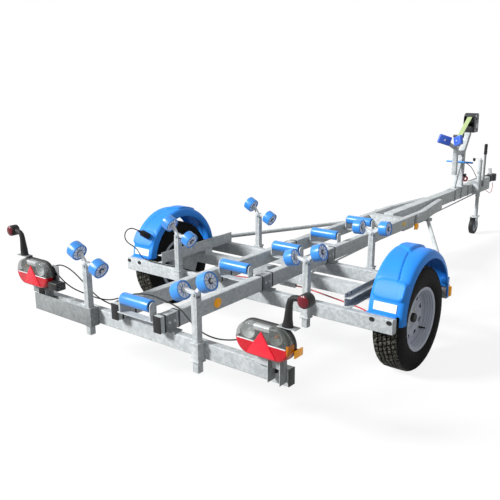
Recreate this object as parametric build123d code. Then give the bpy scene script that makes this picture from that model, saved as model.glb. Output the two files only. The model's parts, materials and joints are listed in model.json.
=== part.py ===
# Single-axle boat trailer: two rails on three cross beams, a central drawbar with an overrun
# coupling, keel rollers between the rails, swinging side rollers on posts, a winch post with
# bow pads, lamps at the rear and a jockey wheel under the nose.
# Millimetres. +Y points forward to the coupling, +X to the right, +Z up, the ground is Z = 0.
# Lengths along Y are measured from the wheel axle. The whole is moved at the end, so that the
# origin lies on the ground under the middle of the trailer.
import math
import os

from build123d import *

# Road wheels
TYRE_D = 589.0
TYRE_W = 170.0
TYRE_SHOULDER = 28.0
TYRE_CURVE = 4.0
RIM_SEAT_D = 328.0
RIM_FLANGE_D = 356.0
RIM_W = 152.0
RIM_WALL = 5.0
RIM_DISC = 8.0
WHEEL_OUTSET = 30.0
TRACK = 1804.0
HUB_R = 62.0
HUB_L = 40.0
STUB_R = 20.0
WHEEL_RUN_GAP = 0.05

# Axle
AXLE_SIZE = 70.0
AXLE_LEAD = 140.0
AXLE_TOP = 364.0
ARM_W = 34.0
ARM_R = 34.0
ARM_DEPTH = 54.0
BACKPLATE_R = 118.0
BACKPLATE_T = 30.0

# Cross beams
BEAM_D = 45.0
BEAM_H = 80.0
BEAM_TOP = 394.0
BEAM_CORNER = 5.0
REAR_BEAM_Y = -1106.0
REAR_BEAM_INSET = 97.0
BEAM_PAST_WHEEL = 72.0
CAP_T = 4.0

# Rails and drawbar
RAIL_W = 50.0
RAIL_H = 86.0
RAIL_X = 150.0
RAIL_OVERHANG = 70.0
RAIL_BEND = 1860.0
RAIL_FRONT = 2430.0
DRAWBAR_W = 80.0
DRAWBAR_H = 100.0
DRAWBAR_REAR = 1550.0
DRAWBAR_FRONT = 3520.0
TIE_LENGTH = 90.0
TIE_T = 8.0
BRACKET_T = 6.0
BRACKET_L = 60.0
BRACKET_FOOT = 46.0

# Side channels and diagonal braces
CHANNEL_INSET = 207.0
CHANNEL_W = 40.0
CHANNEL_H = 52.0
CHANNEL_T = 4.0
CHANNEL_END_GAP = 10.0
BRACE_R = 15.0
BRACE_PAST_BEND = 130.0
BRACE_INSET = 14.0
BRACE_LUG_T = 10.0

# Mudguards
GUARD_IN = 102.0
GUARD_OUT = 98.0
GUARD_CLEAR = 21.5
GUARD_T = 6.0
GUARD_Y = 20.0
GUARD_RISE = 69.5
GUARD_LIP = 48.0
GUARD_LIP_LOW = 338.0
GUARD_FOOT = 26.0
GUARD_TO_MID_BEAM = 34.0
GUARD_TO_FRONT_BEAM = 32.0
CROWN_RISE = 12.0
CROWN_INSET = 16.0
CROWN_SHOULDER = 56.0
CROWN_HALF_ANGLE = 28.0

# Keel rollers
KEEL_R = 32.0
KEEL_LENGTH = 200.0
KEEL_Z = 515.0
KEEL_PIN_R = 8.0
KEEL_BRACKET_T = 6.0
KEEL_BRACKET_W = 44.0
KEEL_BASE_Z = 440.0
KEEL_END_GAP = 5.0
PIN_GAP = 0.05
KEEL_OVERHANG = 54.0
KEEL_FORWARD_Y = (-395.0, 125.0, 585.0, 1075.0)

# Side rollers on posts
POST_W = 35.0
POST_BOTTOM = 252.0
CLAMP_WALL = 5.0
CLAMP_LIP = 4.0
CLAMP_LIP_T = 5.0
SIDE_R = 46.0
SIDE_W = 55.0
SIDE_REACH = 90.0
SIDE_PIN_R = 8.0
SIDE_COLLAR = 6.0
ROCKER_DROP = 34.0
PIVOT_R = 8.0
PIVOT_BOSS_R = 15.0
PIVOT_EAR_T = 6.0
PIVOT_EAR_GAP = 0.3
PIVOT_RISE = 18.0
PIVOT_HEAD = 6.0

# Lamps and markers
LAMP_X = 795.0
LAMP_W = 285.0
LAMP_H = 152.0
LAMP_Z = 526.0
LAMP_DEPTH = 20.0
LENS_T = 42.0
LAMP_REAR_GAP = 24.0
LAMP_PLATE_T = 4.0
LAMP_PLATE_W = 160.0
LAMP_PLATE_RISE = 44.0
FIN_INSET = 10.0
FIN_PITCH = 62.0
FIN_RAISE = 22.0
SEAT_W = 90.0
SEAT_GAP = 2.0
STALK_OFFSET = 109.0
STALK_R = 13.0
STALK_BACK = 19.0
STALK_RISE = 122.0
STALK_LEAN = 8.0
STALK_OUT = 84.0
STALK_HEAD_R = 30.0
STALK_HEAD_L = 46.0
PLATE_INNER = 335.0
PLATE_OUTER = 818.0
PLATE_H = 98.0
PLATE_RAISE = 14.0
PLATE_T = 4.0
PLATE_GAP = 4.0
NUMBER_LAMP_X = 605.0
NUMBER_LAMP_W = 72.0
NUMBER_LAMP_D = 34.0
NUMBER_LAMP_H = 40.0
NUMBER_LAMP_DROP = 42.0
NUMBER_STRIP_H = 40.0
REFLECTOR_R = 26.0
REFLECTOR_T = 8.0
RAIL_REFLECTOR_Y = -765.0
MARKER_Y = 1676.0
MARKER_DROP = 8.0
MARKER_BRACKET_W = 40.0
MARKER_BRACKET_T = 4.0

# Winch post, bow pads and winch
WINCH_BASE_REAR = 2870.0
WINCH_BASE_FRONT = 3180.0
WINCH_BASE_T = 8.0
COLUMN_W = 45.0
COLUMN_Y = 3075.0
COLUMN_TOP = 862.0
NECK_Y = 3240.0
NECK_SETBACK = 45.0
WINCH_Z = 1008.0
STRUT_W = 28.0
STRUT_FOOT_Y = 2905.0
STRUT_TOP_Z = 812.0
PAD_STEM_W = 40.0
PAD_STEM_Y = 2900.0
PAD_STEM_BOTTOM = 632.0
PAD_STEM_TOP = 905.0
PAD_ARM_Z = 835.0
PAD_ARM_H = 36.0
PAD_L = 118.0
PAD_H = 84.0
PAD_T = 34.0
PAD_Z = 968.0
PAD_REACH = 132.0
PAD_SPLAY = 40.0
PAD_ROLL = 18.0
PAD_CENTRE_X = 65.0
WINCH_W = 110.0
WINCH_L = 110.0
WINCH_H = 182.0
WINCH_CHEEK_T = 5.0
WINCH_HOOD_LIP = 26.0
WINCH_APRON_H = 52.0
DRUM_R = 32.0
DRUM_SHAFT_R = 10.0
CRANK_L = 190.0
CRANK_T = 8.0
CRANK_W = 24.0
CRANK_GRIP_R = 15.0
CRANK_GRIP_L = 95.0
STRAP_W = 44.0
STRAP_T = 3.0
STRAP_GAP = 5.0
EYE_T = 12.0
EYE_W = 30.0
EYE_TOP = 945.0

# Coupling and handbrake
HOUSING_W = 104.0
HOUSING_H = 128.0
HOUSING_Z = 378.0
HOUSING_FRONT = 3790.0
BELLOWS_R = 44.0
BELLOWS_L = 90.0
COUPLING_Z = 470.0
HEAD_L = 170.0
HEAD_W = 92.0
HEAD_H = 74.0
BALL_R = 25.2
BALL_DEPTH = 46.0
LEVER_Y = 3560.0
LEVER_W = 34.0
LEVER_T = 14.0
LEVER_TOP = 858.0
ROD_R = 6.0
ROD_REAR_Z = 268.0
ROD_FRONT_Z = 364.0
EQUALISER_W = 120.0

# Brake cables, lamp leads and the plug parked on the left mudguard
CABLE_R = 4.5
CABLE_END_Y = -60.0
CABLE_END_Z = 250.0
LEAD_R = 3.5
CORNER_SHARE = 0.45
LEAD_EXIT = 105.0
LEAD_EXIT_DROP = 34.0
LEAD_EXIT_RISE = 12.0
LEAD_TWIN_PITCH = 8.0
LEAD_TWIN_RISE = 40.0
LEAD_FIRST_RUN = 25.8
LEAD_OVER_RAIL = 20.0
LEAD_PAST_BEAM = 54.0
LEAD_AT_BEAM = 10.0
LEAD_RAIL_Z = 18.0
PLUG_R = 22.0
PLUG_L = 75.0
GLAND_R = 11.0
GLAND_L = 35.0
PLUG_INSET = 32.0
PLUG_GAP = 0.2
PLUG_ANGLE = 57.7
LEAD_FOOT_INSET = 24.0
LEAD_SHELF = 3.0

# Jockey wheel
JOCKEY_X = 92.0
JOCKEY_Y = 3330.0
JOCKEY_TUBE_R = 21.0
JOCKEY_LEG_R = 17.0
JOCKEY_TOP = 735.0
JOCKEY_RUN_GAP = 0.4
JOCKEY_TRAVEL = 190.0
JOCKEY_WHEEL_R = 80.0
JOCKEY_WHEEL_W = 46.0
JOCKEY_TRAIL = 55.0
FORK_T = 6.0
FORK_GAP = 5.0
FORK_TOP_GAP = 8.0
FORK_W = 44.0

# Values that follow from those above
WHEEL_Z = TYRE_D / 2
WHEEL_X = TRACK / 2
WHEEL_BEAM_HALF = WHEEL_X + BEAM_PAST_WHEEL
REAR_BEAM_HALF = WHEEL_BEAM_HALF - REAR_BEAM_INSET
GUARD_R = WHEEL_Z + GUARD_CLEAR
GUARD_Z = WHEEL_Z + GUARD_RISE
MID_BEAM_Y = GUARD_Y - GUARD_R - GUARD_TO_MID_BEAM
FRONT_BEAM_Y = GUARD_Y + GUARD_R + GUARD_TO_FRONT_BEAM
BEAM_BOTTOM = BEAM_TOP - BEAM_H
RAIL_TOP = BEAM_TOP + RAIL_H
RAIL_IN = RAIL_X - RAIL_W / 2
RAIL_OUT = RAIL_X + RAIL_W / 2
RAIL_REAR = REAR_BEAM_Y - RAIL_OVERHANG
DRAWBAR_TOP = BEAM_TOP + DRAWBAR_H
REAR_FACE = REAR_BEAM_Y - BEAM_D / 2
CHANNEL_X = WHEEL_X - CHANNEL_INSET
BRACE_RAIL_Y = RAIL_BEND + BRACE_PAST_BEND
BRACE_BEAM_X = WHEEL_BEAM_HALF - BRACE_INSET
BACKPLATE_X = WHEEL_X - TYRE_W / 2 - BACKPLATE_T
GUARD_INNER = WHEEL_X - GUARD_IN
GUARD_OUTER = WHEEL_X + GUARD_OUT
KEEL_Y = (REAR_BEAM_Y - KEEL_OVERHANG,) + KEEL_FORWARD_Y
POST_OFFSET = BEAM_D / 2 + CLAMP_WALL + POST_W / 2
POST_REACH = POST_W / 2 + CLAMP_WALL + CLAMP_LIP
LAMP_FRONT = REAR_FACE - LAMP_REAR_GAP
LAMP_REAR = LAMP_FRONT - LAMP_DEPTH
LAMP_TOP = LAMP_Z + LAMP_H / 2
PLATE_FRONT = REAR_BEAM_Y - POST_OFFSET - POST_REACH - PLATE_GAP
DRUM_Z = WINCH_Z + WINCH_H - WINCH_L / 2
HEAD_REAR = HOUSING_FRONT + BELLOWS_L
NOSE = HEAD_REAR + HEAD_L
STERN = LAMP_REAR - LENS_T
MIDDLE = (NOSE + STERN) / 2
FORK_CROWN = 2 * JOCKEY_WHEEL_R + FORK_TOP_GAP + FORK_T
JOCKEY_TUBE_BOTTOM = FORK_CROWN + JOCKEY_TRAVEL + FORK_GAP

# Cross beams: name, middle along Y, half length
BEAMS = (
    ("rear", REAR_BEAM_Y, REAR_BEAM_HALF),
    ("mid", MID_BEAM_Y, WHEEL_BEAM_HALF),
    ("front", FRONT_BEAM_Y, WHEEL_BEAM_HALF),
)

# Side roller posts: name, side, X, post's middle along Y, height of its top, inward lean in degrees
POSTS = (
    ("rear_left", -1, 384.0, REAR_BEAM_Y - POST_OFFSET, 618.0, 22.0),
    ("rear_right", 1, 384.0, REAR_BEAM_Y - POST_OFFSET, 618.0, 24.0),
    ("mid_left", -1, 474.0, MID_BEAM_Y - POST_OFFSET, 604.0, 26.0),
    ("mid_right", 1, 474.0, MID_BEAM_Y - POST_OFFSET, 604.0, 18.0),
    ("front_left", -1, 445.0, FRONT_BEAM_Y + POST_OFFSET, 600.0, 26.0),
    ("front_right", 1, 445.0, FRONT_BEAM_Y + POST_OFFSET, 600.0, 4.0),
)

SIDES = (("left", -1), ("right", 1))

# Cords between two ends: share of the way along X, shift along Y and along Z from the straight line
CABLE_ROUTE = (
    (0.110, 22.0, 0.0),
    (0.261, 42.3, -3.3),
    (0.413, 52.5, -4.6),
    (0.564, 56.8, -1.8),
    (0.708, 51.7, 2.8),
    (0.832, 34.4, 3.0),
    (0.922, 8.3, 0.6),
    (0.970, 0.0, 0.0),
)
LAMP_TO_RAIL = (
    (0.000, 24.5, 0.0),
    (0.083, 32.1, -18.7),
    (0.207, 25.7, -47.7),
    (0.339, 18.4, -69.7),
    (0.472, 11.0, -81.8),
    (0.602, 4.0, -78.8),
    (0.722, 1.9, -61.8),
    (0.824, 3.7, -36.6),
    (0.907, 5.3, -13.3),
)
RAIL_TO_RAIL = (
    (0.217, 1.5, 14.0),
    (0.450, -0.2, 30.0),
    (0.683, 0.1, 28.0),
    (0.867, 0.1, 14.0),
)
RAIL_TO_LAMP = (
    (0.093, 1.2, -25.5),
    (0.204, 3.5, -51.7),
    (0.324, 14.3, -69.3),
    (0.444, 27.1, -79.9),
    (0.565, 35.9, -83.5),
    (0.685, 38.7, -82.0),
    (0.800, 41.2, -76.4),
    (0.904, 43.1, -60.3),
    (0.974, 41.0, -34.0),
    (1.000, 24.5, 0.0),
)
LAMP_TO_LEFT_RAIL = (
    (0.000, 24.5, 0.0),
    (0.042, 42.3, 14.5),
    (0.130, 42.4, 23.0),
    (0.239, 36.5, 16.8),
    (0.335, 30.9, -0.5),
    (0.424, 25.8, -19.6),
    (0.512, 20.0, -36.1),
    (0.612, 11.0, -41.8),
    (0.727, 3.5, -37.1),
    (0.841, 0.9, -28.4),
    (0.937, 6.3, -9.7),
)
FOOT_TO_RAIL = (
    (0.092, -8.2, -5.2),
    (0.176, -15.0, -7.1),
    (0.267, -19.2, -7.3),
    (0.359, -22.5, -8.6),
    (0.450, -24.6, -8.7),
    (0.542, -28.9, -10.1),
    (0.634, -33.1, -10.2),
    (0.725, -37.3, -11.6),
    (0.809, -37.1, -11.1),
    (0.878, -29.0, -7.5),
    (0.939, 0.0, 0.0),
)

# The plug lead's loop: X, Y and Z from the end of the plug
PLUG_LOOP = (
    (0.0, -59.8, 28.3),
    (-1.0, -94.8, 22.3),
    (-2.0, -114.8, -3.7),
    (-3.0, -109.8, -39.7),
    (-3.0, -83.8, -69.7),
    (-2.0, -47.8, -94.7),
    (2.0, -17.8, -122.7),
    (10.0, -3.8, -154.7),
    (22.0, 5.2, -178.7),
)


def block(x_low, x_high, y_low, y_high, z_low, z_high):
    """A box between two values along each axis."""
    size = (x_high - x_low, y_high - y_low, z_high - z_low)
    middle = ((x_low + x_high) / 2, (y_low + y_high) / 2, (z_low + z_high) / 2)
    return Pos(*middle) * Box(*size)


def rod_x(radius, x_low, x_high, y, z):
    """A round bar along X."""
    return Pos((x_low + x_high) / 2, y, z) * Rot(0, 90, 0) * Cylinder(radius, x_high - x_low)


def rod_y(radius, y_low, y_high, x, z):
    """A round bar along Y."""
    return Pos(x, (y_low + y_high) / 2, z) * Rot(90, 0, 0) * Cylinder(radius, y_high - y_low)


def rod_z(radius, z_low, z_high, x, y):
    """A round bar along Z."""
    return Pos(x, y, (z_low + z_high) / 2) * Cylinder(radius, z_high - z_low)


def rounded(shape, axis, radius):
    """The shape with its edges along one axis rounded."""
    return fillet(shape.edges().filter_by(axis), radius)


def rod_between(radius, start, end):
    """A round bar from one point to another."""
    start, end = Vector(*start), Vector(*end)
    plane = Plane(origin=start, z_dir=end - start)
    return extrude(plane * Circle(radius), (end - start).length)


def bar_between(width, depth, start, end, side=(1, 0, 0)):
    """A rectangular bar from one point to another, its width along side."""
    start, end = Vector(*start), Vector(*end)
    plane = Plane(origin=start, x_dir=side, z_dir=end - start)
    return extrude(plane * Rectangle(width, depth), (end - start).length)


def turned(points, x_middle, y, z):
    """A solid turned about an axis along X, from points of place along X and radius."""
    outline = make_face(Polyline(*[(r, x) for x, r in points], close=True))
    solid = revolve(outline, Axis.Y)
    return Pos(x_middle, y, z) * Rot(0, 0, -90) * solid


def between(start, end, rows):
    """Points along a line, each moved from it along Y and Z."""
    points = []
    for share, shift_y, shift_z in rows:
        shift = (0.0, shift_y, shift_z)
        points.append(tuple(a + share * (b - a) + d for a, b, d in zip(start, end, shift)))
    return points


def cord(points, radius):
    """A round cord of straight runs joined by arcs."""
    vectors = [Vector(*point) for point in points]
    bends = []
    for before, corner, after in zip(vectors, vectors[1:], vectors[2:]):
        half_turn = math.radians((corner - before).get_angle(after - corner)) / 2
        shorter = min((corner - before).length, (after - corner).length)
        bends.append(CORNER_SHARE * shorter / math.tan(half_turn))
    path = FilletPolyline(*vectors, radius=bends)
    start = Plane(origin=vectors[0], z_dir=vectors[1] - vectors[0])
    return sweep(start * Circle(radius), path)


def save(name, *solids):
    """Write one node, moved so that the origin is under the middle of the trailer."""
    parts = [solid for shape in solids for solid in shape.solids()]
    moved = [Pos(0, -MIDDLE, 0) * part for part in parts]
    whole = moved[0] if len(moved) == 1 else Compound(moved)
    export_step(whole, os.path.join("parts", name + ".step"))


def make_rails():
    """Two rails that turn in at the front to lie against the drawbar."""
    slope = math.atan2(RAIL_IN - DRAWBAR_W / 2, RAIL_FRONT - RAIL_BEND)
    across = RAIL_W / math.cos(slope)
    bend_out = RAIL_BEND + RAIL_W * math.tan(slope / 2)
    outline = (
        (RAIL_IN, RAIL_REAR),
        (RAIL_OUT, RAIL_REAR),
        (RAIL_OUT, bend_out),
        (DRAWBAR_W / 2 + across, RAIL_FRONT),
        (DRAWBAR_W / 2, RAIL_FRONT),
        (RAIL_IN, RAIL_BEND),
    )
    plan = Pos(0, 0, BEAM_TOP) * make_face(Polyline(*outline, close=True))
    right = extrude(plan, RAIL_H)
    save("rails", right, mirror(right, Plane.YZ))
    tie = block(-RAIL_IN, RAIL_IN, DRAWBAR_REAR - TIE_LENGTH, DRAWBAR_REAR, BEAM_TOP, RAIL_TOP)
    shelf_end = DRAWBAR_REAR + TIE_LENGTH
    shelf_y = (DRAWBAR_REAR - TIE_LENGTH, shelf_end)
    tie += block(-RAIL_OUT, RAIL_OUT, *shelf_y, BEAM_TOP - TIE_T, BEAM_TOP)
    reach = DRAWBAR_W / 2 + RAIL_W
    clip = block(-reach, reach, RAIL_FRONT - TIE_LENGTH, RAIL_FRONT, BEAM_TOP - TIE_T, BEAM_TOP)
    save("drawbar_ties", tie, clip)


def make_drawbar():
    bar = block(-DRAWBAR_W / 2, DRAWBAR_W / 2, DRAWBAR_REAR, DRAWBAR_FRONT, BEAM_TOP, DRAWBAR_TOP)
    save("drawbar", rounded(bar, Axis.Y, BEAM_CORNER))


def make_beams():
    """Three cross beams, the caps on open tube ends and the angles that hold the rails."""
    beams = []
    caps = []
    angles = []
    for name, y, half in BEAMS:
        rear, front = y - BEAM_D / 2, y + BEAM_D / 2
        beams.append(rounded(block(-half, half, rear, front, BEAM_BOTTOM, BEAM_TOP), Axis.X, BEAM_CORNER))
        for _, side in SIDES:
            if name == "rear":
                ends = sorted((side * half, side * (half + CAP_T)))
                caps.append(block(*ends, rear, front, BEAM_BOTTOM, BEAM_TOP))
            wall = sorted((side * RAIL_OUT, side * (RAIL_OUT + BRACKET_T)))
            foot = sorted((side * RAIL_OUT, side * (RAIL_OUT + BRACKET_FOOT)))
            low, high = y - BRACKET_L / 2, y + BRACKET_L / 2
            angle = block(*wall, low, high, BEAM_TOP, RAIL_TOP)
            angles.append(angle + block(*foot, low, high, BEAM_TOP, BEAM_TOP + BRACKET_T))
    for _, side in SIDES:
        ends = sorted((side * RAIL_IN, side * RAIL_OUT))
        caps.append(block(*ends, RAIL_REAR - CAP_T, RAIL_REAR, BEAM_TOP, RAIL_TOP))
        hanger = sorted((side * RAIL_OUT, side * (RAIL_OUT + MARKER_BRACKET_T)))
        low, high = MARKER_Y - MARKER_BRACKET_W / 2, MARKER_Y + MARKER_BRACKET_W / 2
        angles.append(block(*hanger, low, high, BEAM_TOP - MARKER_DROP - REFLECTOR_R, RAIL_TOP))
    save("cross_beams", *beams)
    save("end_caps", *caps)
    save("rail_angles", *angles)


def make_side_channels():
    """Channels that join the two wheel beams and carry the axle."""
    rear, front = MID_BEAM_Y + CHANNEL_END_GAP, FRONT_BEAM_Y + BEAM_D / 2
    low, high = CHANNEL_X - CHANNEL_W / 2, CHANNEL_X + CHANNEL_W / 2
    top = BEAM_TOP + CHANNEL_H
    channel = block(low, high, rear, front, BEAM_TOP, top)
    channel -= block(low + CHANNEL_T, high, rear, front, BEAM_TOP + CHANNEL_T, top - CHANNEL_T)
    save("side_channels", channel, mirror(channel, Plane.YZ))


def make_axle():
    """Square axle tube, trailing arms with stub axles and brake back plates, and its two seats."""
    bottom = AXLE_TOP - AXLE_SIZE
    middle_z = AXLE_TOP - AXLE_SIZE / 2
    rear, front = AXLE_LEAD - AXLE_SIZE / 2, AXLE_LEAD + AXLE_SIZE / 2
    arm_in = BACKPLATE_X - ARM_W
    axle = block(-arm_in, arm_in, rear, front, bottom, AXLE_TOP)
    stub_end = WHEEL_X + WHEEL_OUTSET + RIM_DISC
    for _, side in SIDES:
        arm_x = sorted((side * arm_in, side * BACKPLATE_X))
        arm = rod_x(ARM_R, *arm_x, AXLE_LEAD, middle_z) + rod_x(ARM_R, *arm_x, 0, WHEEL_Z)
        mid_x = side * (arm_in + ARM_W / 2)
        arm += bar_between(ARM_W, ARM_DEPTH, (mid_x, AXLE_LEAD, middle_z), (mid_x, 0, WHEEL_Z))
        plate_x = sorted((side * BACKPLATE_X, side * (BACKPLATE_X + BACKPLATE_T)))
        stub_x = sorted((side * BACKPLATE_X, side * stub_end))
        axle += arm + rod_x(BACKPLATE_R, *plate_x, 0, WHEEL_Z) + rod_x(STUB_R, *stub_x, 0, WHEEL_Z)
        seat_x = sorted((side * (CHANNEL_X - CHANNEL_W / 2), side * (CHANNEL_X + CHANNEL_W / 2)))
        axle += block(*seat_x, rear, front, AXLE_TOP, BEAM_TOP)
    save("axle", axle)


def make_wheels():
    half = TYRE_W / 2
    tread = half - TYRE_SHOULDER
    top = TYRE_D / 2
    seat = RIM_SEAT_D / 2
    flange = RIM_FLANGE_D / 2
    bead = RIM_W / 2 - RIM_WALL
    bulge = (top + seat) / 2
    tyre_points = (
        (-bead, seat), (-bead, flange), (-half, bulge), (-half + TYRE_CURVE, (bulge + top) / 2),
        (-tread, top), (tread, top),
        (half - TYRE_CURVE, (bulge + top) / 2), (half, bulge), (bead, flange), (bead, seat),
    )
    edge = RIM_W / 2
    inside = seat - RIM_WALL
    disc = WHEEL_OUTSET
    bore = STUB_R + WHEEL_RUN_GAP
    rim_points = (
        (-edge, flange), (-edge, inside), (disc, inside), (disc, HUB_R), (disc - HUB_L, HUB_R),
        (disc - HUB_L, bore), (disc + RIM_DISC, bore), (disc + RIM_DISC, inside), (edge, inside),
        (edge, flange), (bead, flange), (bead, seat), (-bead, seat), (-bead, flange),
    )
    for name, side in SIDES:
        tyre = turned(tyre_points, side * WHEEL_X, 0, WHEEL_Z)
        rim = turned([(side * x, r) for x, r in rim_points], side * WHEEL_X, 0, WHEEL_Z)
        save("tyre_" + name, tyre)
        save("rim_" + name, rim)


def make_mudguards():
    """Arched guards with lips on both sides, a raised crown, and feet on the two wheel beams."""
    def ring(radius, inside, x_low, x_high):
        return rod_x(radius, x_low, x_high, GUARD_Y, GUARD_Z) - rod_x(inside, x_low, x_high, GUARD_Y, GUARD_Z)

    inside = GUARD_R - GUARD_T
    guard = ring(GUARD_R, inside, GUARD_INNER, GUARD_OUTER)
    guard += ring(GUARD_R, GUARD_R - GUARD_LIP, GUARD_OUTER - GUARD_T, GUARD_OUTER)
    guard += ring(GUARD_R, GUARD_R - GUARD_LIP, GUARD_INNER, GUARD_INNER + GUARD_T)
    reach = 2 * GUARD_R
    rear, front = GUARD_Y - reach, GUARD_Y + reach
    guard -= block(0, WHEEL_BEAM_HALF + CAP_T, rear, front, 0, BEAM_TOP)
    guard -= block(0, 2 * GUARD_OUTER, rear, front, 0, GUARD_LIP_LOW)
    crown = ring(GUARD_R + CROWN_RISE, inside, GUARD_INNER + CROWN_INSET, GUARD_OUTER - CROWN_SHOULDER)
    spread = reach * math.tan(math.radians(CROWN_HALF_ANGLE))
    top = GUARD_Z + reach
    corners = ((GUARD_Y, GUARD_Z), (GUARD_Y + spread, top), (GUARD_Y - spread, top))
    wedge = Plane.YZ * make_face(Polyline(*corners, close=True))
    guard += crown & extrude(wedge, 2 * GUARD_OUTER)
    edge = math.sqrt(inside ** 2 - (BEAM_TOP - GUARD_Z) ** 2)
    inner, outer = GUARD_INNER + GUARD_T, WHEEL_BEAM_HALF
    rear_end, front_end = GUARD_Y - edge, GUARD_Y + edge
    foot_top = BEAM_TOP + GUARD_T
    guard += block(inner, outer, rear_end - GUARD_FOOT - GUARD_T, rear_end - GUARD_T / 2, BEAM_TOP, foot_top)
    guard += block(inner, outer, front_end + GUARD_T / 2, FRONT_BEAM_Y, BEAM_TOP, foot_top)
    save("mudguards", guard, mirror(guard, Plane.YZ))


def make_braces():
    """Round tubes from the rails' bends out to the ends of the front wheel beam, with their lugs."""
    braces = []
    z = BEAM_TOP - BRACE_LUG_T - BRACE_R
    end_y = FRONT_BEAM_Y + BEAM_D / 2
    beam = block(-2 * WHEEL_BEAM_HALF, 2 * WHEEL_BEAM_HALF, end_y - BEAM_D, end_y, BEAM_BOTTOM, BEAM_TOP)
    for _, side in SIDES:
        tube = rod_between(BRACE_R, (side * RAIL_X, BRACE_RAIL_Y, z), (side * BRACE_BEAM_X, end_y, z))
        lug_x = sorted((side * RAIL_IN, side * RAIL_OUT))
        lug = block(*lug_x, BRACE_RAIL_Y - RAIL_W / 2, BRACE_RAIL_Y + RAIL_W / 2, z, BEAM_TOP)
        braces.append(tube + lug - beam)
    save("braces", *braces)


def make_keel_rollers():
    """Cradles between the rails, each with a roller on its pin."""
    half = KEEL_LENGTH / 2
    ear_in = half + KEEL_END_GAP
    cradles = []
    for number, y in enumerate(KEEL_Y, start=1):
        rear, front = y - KEEL_BRACKET_W / 2, y + KEEL_BRACKET_W / 2
        cradle = block(-RAIL_IN, RAIL_IN, rear, front, KEEL_BASE_Z, KEEL_BASE_Z + KEEL_BRACKET_T)
        for _, side in SIDES:
            ear_x = sorted((side * ear_in, side * (ear_in + KEEL_BRACKET_T)))
            cradle += block(*ear_x, rear, front, KEEL_BASE_Z, KEEL_Z)
            cradle += rod_x(KEEL_BRACKET_W / 2, *ear_x, y, KEEL_Z)
        cradle += rod_x(KEEL_PIN_R, -ear_in, ear_in, y, KEEL_Z)
        cradles.append(cradle)
        roller = rod_x(KEEL_R, -half, half, y, KEEL_Z)
        roller -= rod_x(KEEL_PIN_R + PIN_GAP, -half, half, y, KEEL_Z)
        save("keel_roller_%d" % number, roller)
    save("keel_cradles", *cradles)


def make_side_rollers():
    """Square posts in clamps on the beams, each with a swinging bracket and two wheels."""
    posts = []
    clamps = []
    inner = SIDE_REACH - SIDE_W / 2
    outer = SIDE_REACH + SIDE_W / 2
    for name, side, x, y, top, lean in POSTS:
        x *= side
        half = POST_W / 2
        post = block(x - half, x + half, y - half, y + half, POST_BOTTOM, top)
        post = rounded(post, Axis.Z, CLAMP_WALL / 2)
        pivot_z = top + PIVOT_RISE
        ear_in = half - PIVOT_EAR_T
        for y_low, y_high in ((y - half, y - ear_in), (y + ear_in, y + half)):
            post += block(x - PIVOT_BOSS_R, x + PIVOT_BOSS_R, y_low, y_high, top, pivot_z)
            post += rod_y(PIVOT_BOSS_R, y_low, y_high, x, pivot_z)
        post += rod_y(PIVOT_R, y - half - PIVOT_HEAD, y + half + PIVOT_HEAD, x, pivot_z)
        posts.append(post)

        sleeve = half + CLAMP_WALL
        z_low, z_high = BEAM_BOTTOM - CLAMP_LIP_T, BEAM_TOP + CLAMP_LIP_T
        clamp = block(x - sleeve, x + sleeve, y - sleeve, y + sleeve, z_low, z_high)
        reach = POST_REACH
        for z_low in (BEAM_BOTTOM - 2 * CLAMP_LIP_T, BEAM_TOP):
            z_high = z_low + 2 * CLAMP_LIP_T
            clamp += block(x - reach, x + reach, y - reach, y + reach, z_low, z_high)
        clamp -= block(x - half, x + half, y - half, y + half, 0, top)
        clamp -= block(-2 * WHEEL_BEAM_HALF, 2 * WHEEL_BEAM_HALF, *beam_span(y), BEAM_BOTTOM, BEAM_TOP)
        clamps.append(clamp)

        knuckle = ear_in - PIVOT_EAR_GAP
        bracket = rod_y(PIVOT_BOSS_R, -knuckle, knuckle, 0, 0)
        for direction in (-1, 1):
            start = (0, 0, 0)
            shoulder = (direction * (inner - SIDE_COLLAR), 0, ROCKER_DROP)
            bracket += bar_between(2 * SIDE_PIN_R, 2 * SIDE_PIN_R, start, shoulder, (0, 1, 0))
            pin_in, pin_out = inner - SIDE_COLLAR - SIDE_PIN_R, outer + SIDE_COLLAR
            pin_x = sorted((direction * pin_in, direction * pin_out))
            bracket += rod_x(SIDE_PIN_R, *pin_x, 0, ROCKER_DROP)
            collar_x = sorted((direction * (inner - SIDE_COLLAR), direction * (inner - PIVOT_EAR_GAP)))
            bracket += rod_x(2 * SIDE_PIN_R, *collar_x, 0, ROCKER_DROP)
        bracket -= rod_y(PIVOT_R + PIN_GAP, -knuckle, knuckle, 0, 0)
        seat = Pos(x, y, pivot_z) * Rot(0, -side * lean, 0)
        save("rocker_" + name, seat * bracket)
        wheels = []
        for direction in (-1, 1):
            wheel_x = sorted((direction * inner, direction * outer))
            wheel = rod_x(SIDE_R, *wheel_x, 0, ROCKER_DROP)
            wheel -= rod_x(SIDE_PIN_R + PIN_GAP, *wheel_x, 0, ROCKER_DROP)
            wheels.append(seat * wheel)
        save("side_wheels_" + name, *wheels)
    save("roller_posts", *posts)
    save("post_clamps", *clamps)


def beam_span(post_y):
    """Rear and front face of the cross beam that a post stands at."""
    y = min((beam[1] for beam in BEAMS), key=lambda middle: abs(middle - post_y))
    return y - BEAM_D / 2, y + BEAM_D / 2


def lamp_block(y_rear, y_front):
    """The right lamp's outline, round at both ends, as a solid between two values along Y."""
    face = Plane(origin=(LAMP_X, y_front, LAMP_Z), x_dir=(1, 0, 0), z_dir=(0, -1, 0))
    return extrude(face * SlotOverall(LAMP_W, LAMP_H), y_front - y_rear)


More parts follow.
